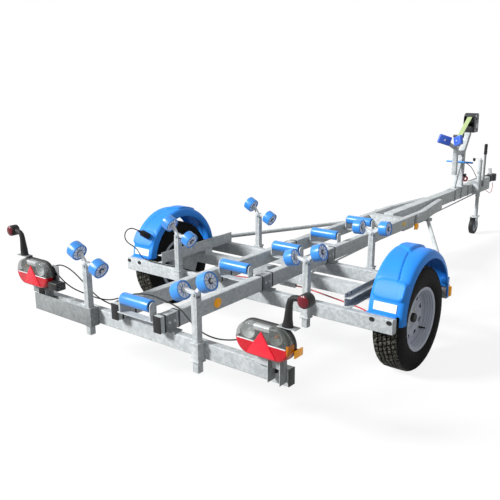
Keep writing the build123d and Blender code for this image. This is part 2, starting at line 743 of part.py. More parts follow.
def make_lamps():
    """Rear lamp bodies, lenses and the plates that carry them, markers on rubber stalks, reflectors."""
    body = lamp_block(LAMP_REAR, LAMP_FRONT)
    lens = lamp_block(STERN, LAMP_REAR)
    half = LAMP_PLATE_W / 2
    back = LAMP_FRONT + LAMP_PLATE_T
    plate = block(LAMP_X - half, LAMP_X + half, LAMP_FRONT, back, BEAM_TOP, LAMP_Z + LAMP_PLATE_RISE)
    fin_z = (BEAM_BOTTOM + FIN_RAISE, LAMP_Z - LAMP_H / 2 - SEAT_GAP)
    fins = []
    for x in (LAMP_X + FIN_INSET, LAMP_X + FIN_INSET + FIN_PITCH):
        fins.append(block(x, x + LAMP_PLATE_T, PLATE_FRONT, REAR_FACE, *fin_z))
    stalk_x = LAMP_X + STALK_OFFSET
    seat_low = LAMP_TOP + SEAT_GAP
    seat_high = seat_low + LAMP_PLATE_T
    seat_x = (stalk_x - SEAT_W / 2, stalk_x + SEAT_W / 2)
    y = LAMP_FRONT - STALK_BACK
    seat_rear = y - STALK_BACK
    plate += block(seat_x[0], stalk_x, LAMP_FRONT, back, LAMP_Z, seat_high)
    plate += block(*seat_x, seat_rear, back, seat_low, seat_high)
    bend = (stalk_x + STALK_LEAN, y, seat_high + STALK_RISE)
    tip = (stalk_x + STALK_OUT, y, seat_high + STALK_RISE + STALK_LEAN)
    stalk = rod_between(STALK_R, (stalk_x, y, seat_high - STALK_R), bend)
    stalk -= block(*seat_x, seat_rear, LAMP_FRONT, 0, seat_high)
    stalk += Pos(*bend) * Sphere(STALK_R) + rod_between(STALK_R, bend, tip)
    stalk += rod_y(STALK_HEAD_R, y - STALK_HEAD_L / 2, y + STALK_HEAD_L / 2, tip[0], tip[2])
    plate_top = BEAM_TOP + PLATE_RAISE
    plate_z = (plate_top - PLATE_H, plate_top)
    carrier = block(-PLATE_OUTER, -PLATE_INNER, PLATE_FRONT - PLATE_T, PLATE_FRONT, *plate_z)
    carrier += block(-PLATE_INNER - PLATE_T, -PLATE_INNER, PLATE_FRONT, REAR_FACE, *plate_z)
    box_z = LAMP_Z - NUMBER_LAMP_DROP
    strip = NUMBER_STRIP_H / 2
    carrier += block(-LAMP_X, -NUMBER_LAMP_X, LAMP_FRONT, back, box_z - strip, box_z + strip)
    wide = NUMBER_LAMP_W / 2
    box = block(
        -NUMBER_LAMP_X - wide, -NUMBER_LAMP_X + wide, LAMP_FRONT - NUMBER_LAMP_D, LAMP_FRONT,
        box_z - NUMBER_LAMP_H / 2, box_z + NUMBER_LAMP_H / 2,
    )
    save("lamp_bodies", mirror(body, Plane.YZ), body)
    save("lamp_lenses", mirror(lens, Plane.YZ), lens)
    left = mirror(plate, Plane.YZ) + carrier
    for fin in fins:
        plate += fin
        left += Pos(-2 * LAMP_X, 0, 0) * fin
    save("lamp_plates", left, plate)
    save("marker_stalks", mirror(stalk, Plane.YZ), stalk)
    save("number_lamp", box)
    reflectors = []
    for _, side in SIDES:
        at_rail = sorted((side * RAIL_OUT, side * (RAIL_OUT + REFLECTOR_T)))
        reflectors.append(rod_x(REFLECTOR_R, *at_rail, RAIL_REFLECTOR_Y, BEAM_TOP + RAIL_H / 2))
        face = RAIL_OUT + MARKER_BRACKET_T
        marker_x = sorted((side * face, side * (face + 2 * REFLECTOR_T)))
        reflectors.append(rod_x(REFLECTOR_R, *marker_x, MARKER_Y, BEAM_TOP - MARKER_DROP))
    save("reflectors", *reflectors)


def make_winch_post():
    """Column on the drawbar with its strut, the arm and stem of the bow pads, and the winch's neck."""
    base_top = DRAWBAR_TOP + WINCH_BASE_T
    half = DRAWBAR_W / 2
    post = block(-half, half, WINCH_BASE_REAR, WINCH_BASE_FRONT, DRAWBAR_TOP, base_top)
    wide = COLUMN_W / 2
    post += block(-wide, wide, COLUMN_Y - wide, COLUMN_Y + wide, base_top, COLUMN_TOP)
    post += bar_between(STRUT_W, STRUT_W, (0, STRUT_FOOT_Y, DRAWBAR_TOP), (0, COLUMN_Y, STRUT_TOP_Z))
    neck = (0, NECK_Y - NECK_SETBACK, WINCH_Z)
    post += bar_between(COLUMN_W, COLUMN_W, (0, COLUMN_Y, COLUMN_TOP - wide), neck)
    stem = PAD_STEM_W / 2
    arm_low, arm_high = PAD_ARM_Z - PAD_ARM_H / 2, PAD_ARM_Z + PAD_ARM_H / 2
    post += block(-stem, stem, PAD_STEM_Y - stem, COLUMN_Y, arm_low, arm_high)
    post += block(-stem, stem, PAD_STEM_Y - stem, PAD_STEM_Y + stem, PAD_STEM_BOTTOM, PAD_STEM_TOP)
    eye = EYE_W / 2
    post += block(-EYE_T / 2, EYE_T / 2, PAD_STEM_Y - eye, PAD_STEM_Y + eye, PAD_STEM_TOP, EYE_TOP)
    post -= block(-half, half, WINCH_BASE_REAR, WINCH_BASE_FRONT, BEAM_TOP, DRAWBAR_TOP)
    post -= block(-WINCH_W, WINCH_W, PAD_STEM_Y + eye, NOSE, WINCH_Z, 2 * WINCH_Z)
    pads = []
    for _, side in SIDES:
        place = Pos(side * PAD_CENTRE_X, PAD_STEM_Y - PAD_REACH, PAD_Z)
        place *= Rot(0, 0, -side * PAD_SPLAY) * Rot(0, -side * PAD_ROLL, 0)
        pads.append(place * Box(PAD_L, PAD_T, PAD_H))
        post += place * Pos(0, (PAD_T + WINCH_BASE_T) / 2, 0) * Box(PAD_L / 2, WINCH_BASE_T, PAD_H / 2)
        start = (0, PAD_STEM_Y, PAD_STEM_TOP - STRUT_W)
        end = (place * Pos(0, (PAD_T + STRUT_W) / 2, 0)).position
        post += bar_between(STRUT_W, STRUT_W, start, tuple(end), (0, 1, 0))
    for pad in pads:
        post -= pad
    save("winch_post", post)
    save("bow_pads", *pads)


def make_winch():
    """Cheeks, hood and apron of the winch, its drum with shaft and crank as one piece, and the strap."""
    rear, front = NECK_Y - WINCH_L / 2, NECK_Y + WINCH_L / 2
    half = WINCH_W / 2
    floor = WINCH_Z + WINCH_CHEEK_T
    hood = rod_x(WINCH_L / 2, -half, half, NECK_Y, DRUM_Z)
    hood -= rod_x(WINCH_L / 2 - WINCH_CHEEK_T, -half, half, NECK_Y, DRUM_Z)
    frame = hood - block(-half, half, rear, front, WINCH_Z, DRUM_Z + WINCH_HOOD_LIP)
    frame += block(-half, half, rear, front, WINCH_Z, floor)
    frame += block(-half, half, rear, rear + WINCH_CHEEK_T, floor, floor + WINCH_APRON_H)
    for _, side in SIDES:
        cheek = sorted((side * half, side * (half - WINCH_CHEEK_T)))
        frame += block(*cheek, rear, front, floor, DRUM_Z)
        frame += rod_x(WINCH_L / 2, *cheek, NECK_Y, DRUM_Z)
    frame -= rod_x(DRUM_SHAFT_R + PIN_GAP, -half, half, NECK_Y, DRUM_Z)
    save("winch_frame", frame)
    inside = half - WINCH_CHEEK_T - KEEL_END_GAP
    drum = rod_x(DRUM_R, -inside, inside, NECK_Y, DRUM_Z)
    crank_x = -half - KEEL_END_GAP
    arm_x = crank_x - CRANK_T
    drum += rod_x(DRUM_SHAFT_R, arm_x, half + KEEL_END_GAP, NECK_Y, DRUM_Z)
    wide = CRANK_W / 2
    drum += block(arm_x, crank_x, NECK_Y - wide, NECK_Y + wide, DRUM_Z - CRANK_L, DRUM_Z + wide)
    drum += rod_x(CRANK_GRIP_R, arm_x - CRANK_GRIP_L, arm_x, NECK_Y, DRUM_Z - CRANK_L + CRANK_GRIP_R)
    save("winch_drum", drum)
    low = Vector(0, PAD_STEM_Y, EYE_TOP + STRAP_T / 2)
    centre = Vector(0, NECK_Y, DRUM_Z)
    radius = DRUM_R + STRAP_GAP + STRAP_T / 2
    span = centre - low
    lift = math.atan2(span.Z, span.Y) + math.asin(radius / span.length)
    run = math.sqrt(span.length ** 2 - radius ** 2)
    high = low + Vector(0, math.cos(lift), math.sin(lift)) * run
    strap = bar_between(STRAP_W, STRAP_T, tuple(low), tuple(high))
    strap += block(
        -STRAP_W / 2, STRAP_W / 2, PAD_STEM_Y - EYE_W / 2, PAD_STEM_Y + STRAP_T, EYE_TOP, EYE_TOP + STRAP_T,
    )
    eye = block(-STRAP_W, STRAP_W, PAD_STEM_Y - EYE_W, PAD_STEM_Y + EYE_W, EYE_TOP - EYE_W, EYE_TOP)
    save("winch_strap", strap - eye)


def make_coupling():
    """Overrun housing, bellows, coupling head with its ball cup, handbrake lever and brake rod."""
    half = HOUSING_W / 2
    housing = block(-half, half, DRAWBAR_FRONT, HOUSING_FRONT, HOUSING_Z, HOUSING_Z + HOUSING_H)
    save("overrun_housing", rounded(housing, Axis.Y, BEAM_CORNER))
    save("bellows", rod_y(BELLOWS_R, HOUSING_FRONT, HEAD_REAR, 0, COUPLING_Z))
    wide = HEAD_W / 2
    z_low, z_high = COUPLING_Z - HEAD_H / 2, COUPLING_Z + HEAD_H / 2
    cup_y = NOSE - wide
    head = block(-wide / 2, wide / 2, HEAD_REAR, cup_y, z_low, z_high)
    head += rod_z(wide, z_low, z_high, 0, cup_y)
    head -= rod_z(BALL_R, z_low, z_low + BALL_DEPTH, 0, cup_y)
    foot = (0, cup_y - wide, z_high - LEVER_T)
    tip = (0, cup_y - 2 * wide, z_high + HEAD_H)
    save("coupling_head", head + bar_between(LEVER_W, LEVER_T, foot, tip))
    lever_y = (LEVER_Y - LEVER_W / 2, LEVER_Y + LEVER_W / 2)
    save("handbrake_lever", block(half, half + LEVER_T, *lever_y, COUPLING_Z - LEVER_W, LEVER_TOP))
    clevis = 2 * ROD_R
    front = DRAWBAR_FRONT + LEVER_W
    linkage = rod_between(ROD_R, (0, AXLE_LEAD, ROD_REAR_Z), (0, front, ROD_FRONT_Z))
    linkage += block(-clevis, clevis, front - clevis, front + clevis, ROD_FRONT_Z - clevis, HOUSING_Z)
    linkage += block(
        -EQUALISER_W / 2, EQUALISER_W / 2, AXLE_LEAD - clevis, AXLE_LEAD + clevis,
        ROD_REAR_Z - clevis, AXLE_TOP - AXLE_SIZE,
    )
    save("brake_linkage", linkage)


def make_cords():
    """Brake cables to the back plates, the lamps' leads, and the plug lead on the left mudguard."""
    start = (EQUALISER_W / 2, AXLE_LEAD, ROD_REAR_Z)
    end = (BACKPLATE_X, CABLE_END_Y, CABLE_END_Z)
    points = between(start, end, CABLE_ROUTE)
    points[0] = (points[0][0],) + start[1:]
    points[-1] = (points[-1][0],) + end[1:]
    cable = cord([start] + points + [end], CABLE_R)
    save("brake_cables", mirror(cable, Plane.YZ), cable)

    lamp_x = LAMP_X - LEAD_EXIT
    over_rail = RAIL_TOP + LEAD_OVER_RAIL
    right_lamp = (lamp_x, LAMP_FRONT, LAMP_Z - LEAD_EXIT_DROP)
    right_rail = (RAIL_X, REAR_BEAM_Y + LEAD_PAST_BEAM, over_rail)
    left_rail = (-RAIL_X, REAR_BEAM_Y + LEAD_AT_BEAM, over_rail)
    left_lamp = (-lamp_x, LAMP_FRONT, LAMP_Z + LEAD_EXIT_RISE)
    points = [right_lamp] + between(right_lamp, right_rail, LAMP_TO_RAIL)
    points += [right_rail] + between(right_rail, left_rail, RAIL_TO_RAIL)
    points += [left_rail] + between(left_rail, left_lamp, RAIL_TO_LAMP) + [left_lamp]
    save("lead_cross", cord(points, LEAD_R))

    twin_lamp = (-lamp_x - LEAD_TWIN_PITCH, LAMP_FRONT, LAMP_Z + LEAD_TWIN_RISE)
    wall = (-RAIL_OUT, REAR_BEAM_Y + LEAD_PAST_BEAM, BEAM_TOP + LEAD_RAIL_Z)
    points = between(twin_lamp, wall, LAMP_TO_LEFT_RAIL)
    points[-1] = (points[-1][0],) + wall[1:]
    save("lead_left", cord([twin_lamp] + points + [wall], LEAD_R))

    angle = math.radians(PLUG_ANGLE)
    out = Vector(0, -math.sin(angle), math.cos(angle))
    centre = Vector(PLUG_INSET - WHEEL_X, GUARD_Y, GUARD_Z)
    face = centre + out * (GUARD_R + PLUG_GAP)
    neck = face + out * PLUG_L
    tail = neck + out * GLAND_L
    plug = rod_between(PLUG_R, tuple(face), tuple(neck)) + rod_between(GLAND_R, tuple(neck), tuple(tail))
    save("trailer_plug", plug)
    foot_z = BEAM_TOP + GUARD_T + LEAD_R + 2 * PLUG_GAP
    foot = (-GUARD_INNER - GUARD_T - LEAD_FOOT_INSET, MID_BEAM_Y - LEAD_SHELF, foot_z)
    wall = (-RAIL_OUT, MID_BEAM_Y + LEAD_PAST_BEAM, BEAM_TOP + LEAD_RAIL_Z)
    points = [tuple(tail), tuple(tail + out * LEAD_FIRST_RUN)]
    points += [tuple(tail + Vector(*shift)) for shift in PLUG_LOOP]
    points += [foot] + between(foot, wall, FOOT_TO_RAIL)
    points[-1] = (points[-1][0],) + wall[1:]
    save("lead_plug", cord(points + [wall], LEAD_R))


def make_jockey():
    """Clamp and outer tube, sliding leg, fork that swivels under it, and the wheel."""
    clamp_y = (JOCKEY_Y - JOCKEY_TUBE_R, JOCKEY_Y + JOCKEY_TUBE_R)
    tube = block(DRAWBAR_W / 2, JOCKEY_X, *clamp_y, BEAM_TOP, DRAWBAR_TOP)
    tube += rod_z(JOCKEY_TUBE_R, JOCKEY_TUBE_BOTTOM, JOCKEY_TOP, JOCKEY_X, JOCKEY_Y)
    bore = JOCKEY_LEG_R + JOCKEY_RUN_GAP
    tube -= rod_z(bore, JOCKEY_TUBE_BOTTOM, JOCKEY_TOP - FORK_T, JOCKEY_X, JOCKEY_Y)
    save("jockey_tube", tube)
    crown_low = FORK_CROWN - FORK_T
    crown_high = FORK_CROWN
    leg_top = JOCKEY_TOP - FORK_T - JOCKEY_TRAVEL - FORK_GAP
    save("jockey_leg", rod_z(JOCKEY_LEG_R, crown_high + PIVOT_EAR_GAP, leg_top, JOCKEY_X, JOCKEY_Y))
    inside = JOCKEY_WHEEL_W / 2 + FORK_GAP
    axle_y = JOCKEY_Y - JOCKEY_TRAIL
    wide = inside + FORK_T
    fork_y = (axle_y - FORK_W / 2, JOCKEY_Y + FORK_W / 2)
    fork = block(JOCKEY_X - wide, JOCKEY_X + wide, *fork_y, crown_low, crown_high)
    for _, side in SIDES:
        leg_x = sorted((JOCKEY_X + side * inside, JOCKEY_X + side * (inside + FORK_T)))
        fork += block(*leg_x, axle_y - FORK_W / 2, axle_y + FORK_W / 2, JOCKEY_WHEEL_R, crown_high)
        fork += rod_x(FORK_W / 2, *leg_x, axle_y, JOCKEY_WHEEL_R)
    fork += rod_x(KEEL_PIN_R, JOCKEY_X - inside, JOCKEY_X + inside, axle_y, JOCKEY_WHEEL_R)
    save("jockey_fork", fork)
    half = JOCKEY_WHEEL_W / 2
    wheel = rod_x(JOCKEY_WHEEL_R, JOCKEY_X - half, JOCKEY_X + half, axle_y, JOCKEY_WHEEL_R)
    wheel -= rod_x(KEEL_PIN_R + PIN_GAP, JOCKEY_X - half, JOCKEY_X + half, axle_y, JOCKEY_WHEEL_R)
    save("jockey_wheel", wheel)


def main():
    os.makedirs("parts", exist_ok=True)
    make_rails()
    make_drawbar()
    make_beams()
    make_side_channels()
    make_axle()
    make_wheels()
    make_mudguards()
    make_braces()
    make_keel_rollers()
    make_side_rollers()
    make_lamps()
    make_winch_post()
    make_winch()
    make_coupling()
    make_cords()
    make_jockey()


main()
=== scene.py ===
"""Looks of a galvanised boat trailer with blue rollers and mudguards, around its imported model."""

import json
import math

import bmesh
import bpy
from bpy.props import FloatProperty, IntProperty, PointerProperty, StringProperty
from mathutils import Matrix, Quaternion, Vector


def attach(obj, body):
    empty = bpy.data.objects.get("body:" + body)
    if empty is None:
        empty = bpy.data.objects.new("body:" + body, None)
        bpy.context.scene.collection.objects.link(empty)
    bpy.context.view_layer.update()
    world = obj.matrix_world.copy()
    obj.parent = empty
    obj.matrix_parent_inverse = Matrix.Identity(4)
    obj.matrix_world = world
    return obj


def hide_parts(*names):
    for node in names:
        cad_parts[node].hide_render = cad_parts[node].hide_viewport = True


bl_info = {
    "name": "Boat trailer looks",
    "version": (1, 0, 0),
    "blender": (4, 5, 0),
    "location": "3D View > Sidebar > Trailer",
    "description": "Builds the visible pieces and finishes of a boat trailer around its packed model",
    "category": "Object",
}

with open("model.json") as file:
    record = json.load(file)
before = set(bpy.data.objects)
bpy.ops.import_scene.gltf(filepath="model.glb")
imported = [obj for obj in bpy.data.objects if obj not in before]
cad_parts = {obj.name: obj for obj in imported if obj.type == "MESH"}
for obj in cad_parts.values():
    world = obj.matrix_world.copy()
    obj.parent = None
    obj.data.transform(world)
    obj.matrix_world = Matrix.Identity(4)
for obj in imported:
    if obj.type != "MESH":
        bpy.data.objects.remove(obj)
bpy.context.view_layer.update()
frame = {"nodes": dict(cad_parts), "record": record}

# Pieces are modelled in millimetres with Y from the wheel axle, then moved to the frame in metres.
AXLE_TO_ORIGIN = 1417.75
TO_FRAME = Matrix.Scale(0.001, 4) @ Matrix.Translation((0, -AXLE_TO_ORIGIN, 0))
SIDES = (("left", -1), ("right", 1))

# Camera fitted to the photograph: place, aim in degrees, focal length and picture width in pixels, sensor
CAMERA_PLACE = (2326.05, -3247.38, 1614.85)
CAMERA_AZIMUTH = 37.8997
CAMERA_HEIGHT = 15.2413
CAMERA_ROLL = -0.319
FOCAL_PIXELS = 665.72
PHOTO_PIXELS = 500
SENSOR_WIDTH = 36.0

# Light: the key's direction, its strength and its width in degrees, and the world's strength on the object
KEY_DIRECTION = Vector((4.6, 5.6, -4.6))
KEY_STRENGTH = 4.8
KEY_WIDTH = 14.0
WORLD_STRENGTH = 0.4

# Floor: its radius in metres, and how much of it the camera sees as plain white
FLOOR_RADIUS = 60.0
FLOOR_GLOW = 0.86

# Places of wheels, mudguards, beams, keel rollers and lamps
WHEEL_X = 902
WHEEL_Z = 294.5
GUARD_CENTRE = Vector((0, 20, 364))
BEAM_Y = (-1106, -330, 368)
KEEL_Y = (-1160, -395, 125, 585, 1075)
KEEL_Z = 515
LAMP_CENTRE = (795, 0, 526)
LENS_BACK = -1172.6

# Diameter of the leads in metres
LEAD_DIAMETER = 0.007

# Where the amber end of a lamp's lens starts, from its middle, and a place past the end for a lamp without it
AMBER_FROM = 126.0
NO_AMBER = 200.0

# Heights from a lens's middle: red below the first and clear above it, and the amber end between the others
RED_TOP = -5
AMBER_LOW, AMBER_HIGH = -38, 14

# Round holes in a road wheel's disc
WHEEL_HOLES = 8
HOLE_CIRCLE = 110
HOLE_RADIUS = 14

# Pattern sizes in metres: dull patches and runs of the zinc, clouds in moulded colour, dust on the tread
ZINC_PATCH = 1 / 6
ZINC_RUN = 1 / 55
COLOUR_CLOUD = 1 / 11
TREAD_DUST = 1 / 90

# A wave texture of scale 1 repeats after this length
WAVE_REPEAT = 0.314

# Tyre: radius where the tread starts, share of a block that a sipe takes, its slant in blocks to a metre,
# and the sidewall's rings as radians to a metre, which sets them 7 mm apart
TREAD_FROM = 0.2865
SIPE_SHARE = 0.22
SIPE_SLANT = 14.0
WALL_RINGS = 900.0


class TrailerColours(bpy.types.PropertyGroup):
    """Colours of the finishes, as sRGB hex values."""

    zinc_light: StringProperty(
        name="Zinc, light", description="Bright crystals of the zinc", default="#c6cacc")
    zinc_dark: StringProperty(
        name="Zinc, dark", description="Dull crystals of the zinc", default="#aeb4b6")
    # Darker zinc: on the drawbar straps its darkness is painted shade for the gaps around them.
    dull_zinc_and_shade: StringProperty(
        name="Dull zinc", description="Weathered plates and straps", default="#95999a")
    dull_dark: StringProperty(
        name="Dull zinc, dark", description="Dark patches of the dull zinc", default="#828688")
    plated: StringProperty(
        name="Plated steel", description="Bright plated brackets and bolts", default="#d4d7d9")
    guard: StringProperty(
        name="Mudguard", description="Moulded mudguards", default="#278cef")
    roller: StringProperty(
        name="Roller", description="Cast keel and side rollers", default="#3a8fe5")
    pad: StringProperty(
        name="Bow pad", description="Cast bow pads", default="#3f68d1")
    hub: StringProperty(
        name="Roller hub", description="Hub faces of the side rollers", default="#f8faff")
    rubber: StringProperty(
        name="Tyre rubber", description="Walls and grooves of the road tyres", default="#0a0a0a")
    dust: StringProperty(
        name="Tread dust", description="Dust on the tread blocks", default="#6b6a61")
    plastic: StringProperty(
        name="Black plastic", description="Caps, plug, housings, rubber arms and leads", default="#18181a")
    rim: StringProperty(
        name="Wheel rim", description="Silver paint of the road wheels", default="#b5bac5")
    red_lens: StringProperty(
        name="Red lens", description="Tail and brake lenses", default="#d40c23")
    marker: StringProperty(
        name="Marker lens", description="Red lenses of the side markers", default="#720e1f")
    triangle: StringProperty(
        name="Triangle", description="Triangular rear reflector", default="#fe1e38")
    amber: StringProperty(
        name="Amber", description="Indicators in the rear lamps", default="#e28307")
    # The side reflectors also glow a little in this colour: painted light for the light they send back.
    reflector: StringProperty(
        name="Reflector", description="Amber side reflectors", default="#f0a000")
    chrome: StringProperty(
        name="Lamp bowls", description="Bright bowls behind the clear lens", default="#e4e7e5")
    tray: StringProperty(
        name="Lamp tray", description="Floor of the lamp behind the clear lens", default="#959489")
    clear: StringProperty(
        name="Clear lens", description="Tint of the clear lenses", default="#7d8583")
    strap: StringProperty(
        name="Winch strap", description="Woven strap of the winch", default="#b4c68d")
    # The rail bands take this dark paint as painted shade for the thin shadows along the rail brackets.
    winch: StringProperty(
        name="Winch", description="Paint of the winch, the coupling and the rail bands", default="#2d2e32")
    sleeve: StringProperty(
        name="Brake cable", description="Sleeve of the brake cables", default="#bf3844")
    label: StringProperty(
        name="Label", description="Blank stickers", default="#eef0f2")
    plate: StringProperty(
        name="Type plate", description="Blank yellow plate on the rail", default="#e8c130")


class TrailerSizes(bpy.types.PropertyGroup):
    """Sizes of the finish that a user would change."""

    edge: FloatProperty(
        name="Steel edge", description="Rounding of cut steel edges", default=0.0016, unit="LENGTH")
    tube: FloatProperty(
        name="Rail corner", description="Corner radius of the rails", default=0.006, unit="LENGTH")
    groove: FloatProperty(
        name="Tread groove", description="Depth of the tread's grooves", default=0.008, unit="LENGTH")
    shell: FloatProperty(
        name="Guard wall", description="Wall of the mudguards", default=0.004, unit="LENGTH")
    spangle: FloatProperty(
        name="Zinc crystal", description="Width of a zinc crystal", default=0.014, unit="LENGTH")
    spokes: IntProperty(
        name="Hub spokes", description="Spokes in a side roller's hub", default=10)
    blocks: IntProperty(
        name="Tread blocks", description="Tread blocks round a tyre", default=58)


def linear(text):
    """An sRGB hex value as linear colour with alpha."""
    parts = [int(text[i:i + 2], 16) / 255 for i in (1, 3, 5)]
    return tuple(c / 12.92 if c <= 0.04045 else ((c + 0.055) / 1.055) ** 2.4 for c in parts) + (1.0,)


def dimmed(text, share):
    """An sRGB hex value as linear colour with only a share of its light."""
    return tuple(share * c for c in linear(text)[:3]) + (1.0,)


def add(tree, kind, inputs=(), stops=(), **settings):
    """A node with its settings, its inputs set or linked, and a ramp's stops as places and colours."""
    made = tree.nodes.new(kind)
    for name, value in settings.items():
        setattr(made, name, value)
    for number, (place, colour) in enumerate(stops):
        made.color_ramp.elements[number].position = place
        made.color_ramp.elements[number].color = colour
    for socket, value in inputs:
        if isinstance(value, bpy.types.NodeSocket):
            tree.links.new(value, made.inputs[socket])
        else:
            made.inputs[socket].default_value = value
    return made


def blank(name, **values):
    """A new material with its shader's plain values set."""
    made = bpy.data.materials.new(name)
    made.use_nodes = True
    shader = made.node_tree.nodes["Principled BSDF"]
    for socket, value in values.items():
        shader.inputs[socket.replace("_", " ")].default_value = value
    return made, made.node_tree, shader


def wire(tree, shader, **sockets):
    """Links from sockets to the shader's inputs of those names."""
    for name, socket in sockets.items():
        tree.links.new(socket, shader.inputs[name.replace("_", " ")])


def galvanised_steel(name, light, dark, crystal, metallic):
    """Hot-dipped zinc: pale grey crystals that differ in brightness, dull patches, a satin surface."""
    made, tree, shader = blank(name, Metallic=metallic, Specular_IOR_Level=0.25)
    place = add(tree, "ShaderNodeTexCoord").outputs["Object"]
    cells = add(tree, "ShaderNodeTexVoronoi",
                [("Vector", place), ("Scale", 1 / crystal), ("Randomness", 1.0)])
    tone = add(tree, "ShaderNodeSeparateColor", [("Color", cells.outputs["Color"])])
    cloud = add(tree, "ShaderNodeTexNoise",
                [("Vector", place), ("Scale", 1 / ZINC_PATCH), ("Detail", 5.0), ("Roughness", 0.6)])
    streak = add(tree, "ShaderNodeTexNoise", [("Vector", place), ("Scale", 1 / ZINC_RUN), ("Detail", 3.0)])
    part = add(tree, "ShaderNodeMix",
               [("Factor", 0.4), ("A", cloud.outputs["Fac"]), ("B", tone.outputs["Red"])])
    ramp = add(tree, "ShaderNodeValToRGB", [("Fac", part.outputs["Result"])],
               [(0.32, linear(dark)), (0.68, linear(light))])
    rough = add(tree, "ShaderNodeMapRange",
                [("Value", streak.outputs["Fac"]), ("To Min", 0.6), ("To Max", 0.78)])
    bump = add(tree, "ShaderNodeBump",
               [("Strength", 0.12), ("Distance", 0.0006), ("Height", streak.outputs["Fac"])])
    wire(tree, shader, Base_Color=ramp.outputs["Color"], Roughness=rough.outputs["Result"],
         Normal=bump.outputs["Normal"])
    return made


def moulded(name, colour, rough, grain, depth, fade, gloss):
    """Moulded plastic or rubber: an even colour with slow cloudy change and a fine grain from the mould."""
    made, tree, shader = blank(name, IOR=1.5, Specular_IOR_Level=gloss)
    place = add(tree, "ShaderNodeTexCoord").outputs["Object"]
    cloud = add(tree, "ShaderNodeTexNoise",
                [("Vector", place), ("Scale", 1 / COLOUR_CLOUD), ("Detail", 4.0)])
    fine = add(tree, "ShaderNodeTexNoise", [("Vector", place), ("Scale", 1 / grain), ("Detail", 2.0)])
    ramp = add(tree, "ShaderNodeValToRGB", [("Fac", cloud.outputs["Fac"])],
               [(0.35, dimmed(colour, fade)), (0.65, linear(colour))])
    dull = add(tree, "ShaderNodeMapRange",
               [("Value", fine.outputs["Fac"]), ("To Min", rough - 0.06), ("To Max", rough + 0.08)])
    bump = add(tree, "ShaderNodeBump",
               [("Strength", depth), ("Distance", 0.0005), ("Height", fine.outputs["Fac"])])
    wire(tree, shader, Base_Color=ramp.outputs["Color"], Roughness=dull.outputs["Result"],
         Normal=bump.outputs["Normal"])
    return made


def fluted_lens(name, colour, pitch, angle, glow):
    """Moulded acrylic lens: deep clear colour over prisms, and a painted glow for the light a reflector sends
    back.
    """
    made, tree, shader = blank(name, IOR=1.49, Roughness=0.2, Specular_IOR_Level=0.3, Emission_Strength=glow)
    place = add(tree, "ShaderNodeTexCoord").outputs["Object"]
    slanted = add(tree, "ShaderNodeMapping", [("Vector", place), ("Rotation", (0, angle, 0))])
    ribs = add(tree, "ShaderNodeTexWave",
               [("Vector", slanted.outputs["Vector"]), ("Scale", WAVE_REPEAT / pitch)], bands_direction="X")
    ramp = add(tree, "ShaderNodeValToRGB", [("Fac", ribs.outputs["Fac"])],
               [(0.0, dimmed(colour, 0.62)), (1.0, linear(colour))])
    bump = add(tree, "ShaderNodeBump",
               [("Strength", 0.35), ("Distance", 0.001), ("Height", ribs.outputs["Fac"])])
    wire(tree, shader, Base_Color=ramp.outputs["Color"], Emission_Color=ramp.outputs["Color"],
         Normal=bump.outputs["Normal"])
    return made


def clear_lens(name, colour):
    """Clear acrylic: faint upright flutes, 9 mm apart, and the bowls behind show through."""
    made, tree, shader = blank(name, IOR=1.49, Roughness=0.08, Alpha=0.26)
    place = add(tree, "ShaderNodeTexCoord").outputs["Object"]
    ribs = add(tree, "ShaderNodeTexWave",
               [("Vector", place), ("Scale", WAVE_REPEAT / 0.009)], bands_direction="X")
    tint = add(tree, "ShaderNodeValToRGB", [("Fac", ribs.outputs["Fac"])],
               [(0.0, dimmed(colour, 0.6)), (1.0, linear(colour))])
    bump = add(tree, "ShaderNodeBump",
               [("Strength", 0.25), ("Distance", 0.001), ("Height", ribs.outputs["Fac"])])
    wire(tree, shader, Base_Color=tint.outputs["Color"], Normal=bump.outputs["Normal"])
    return made


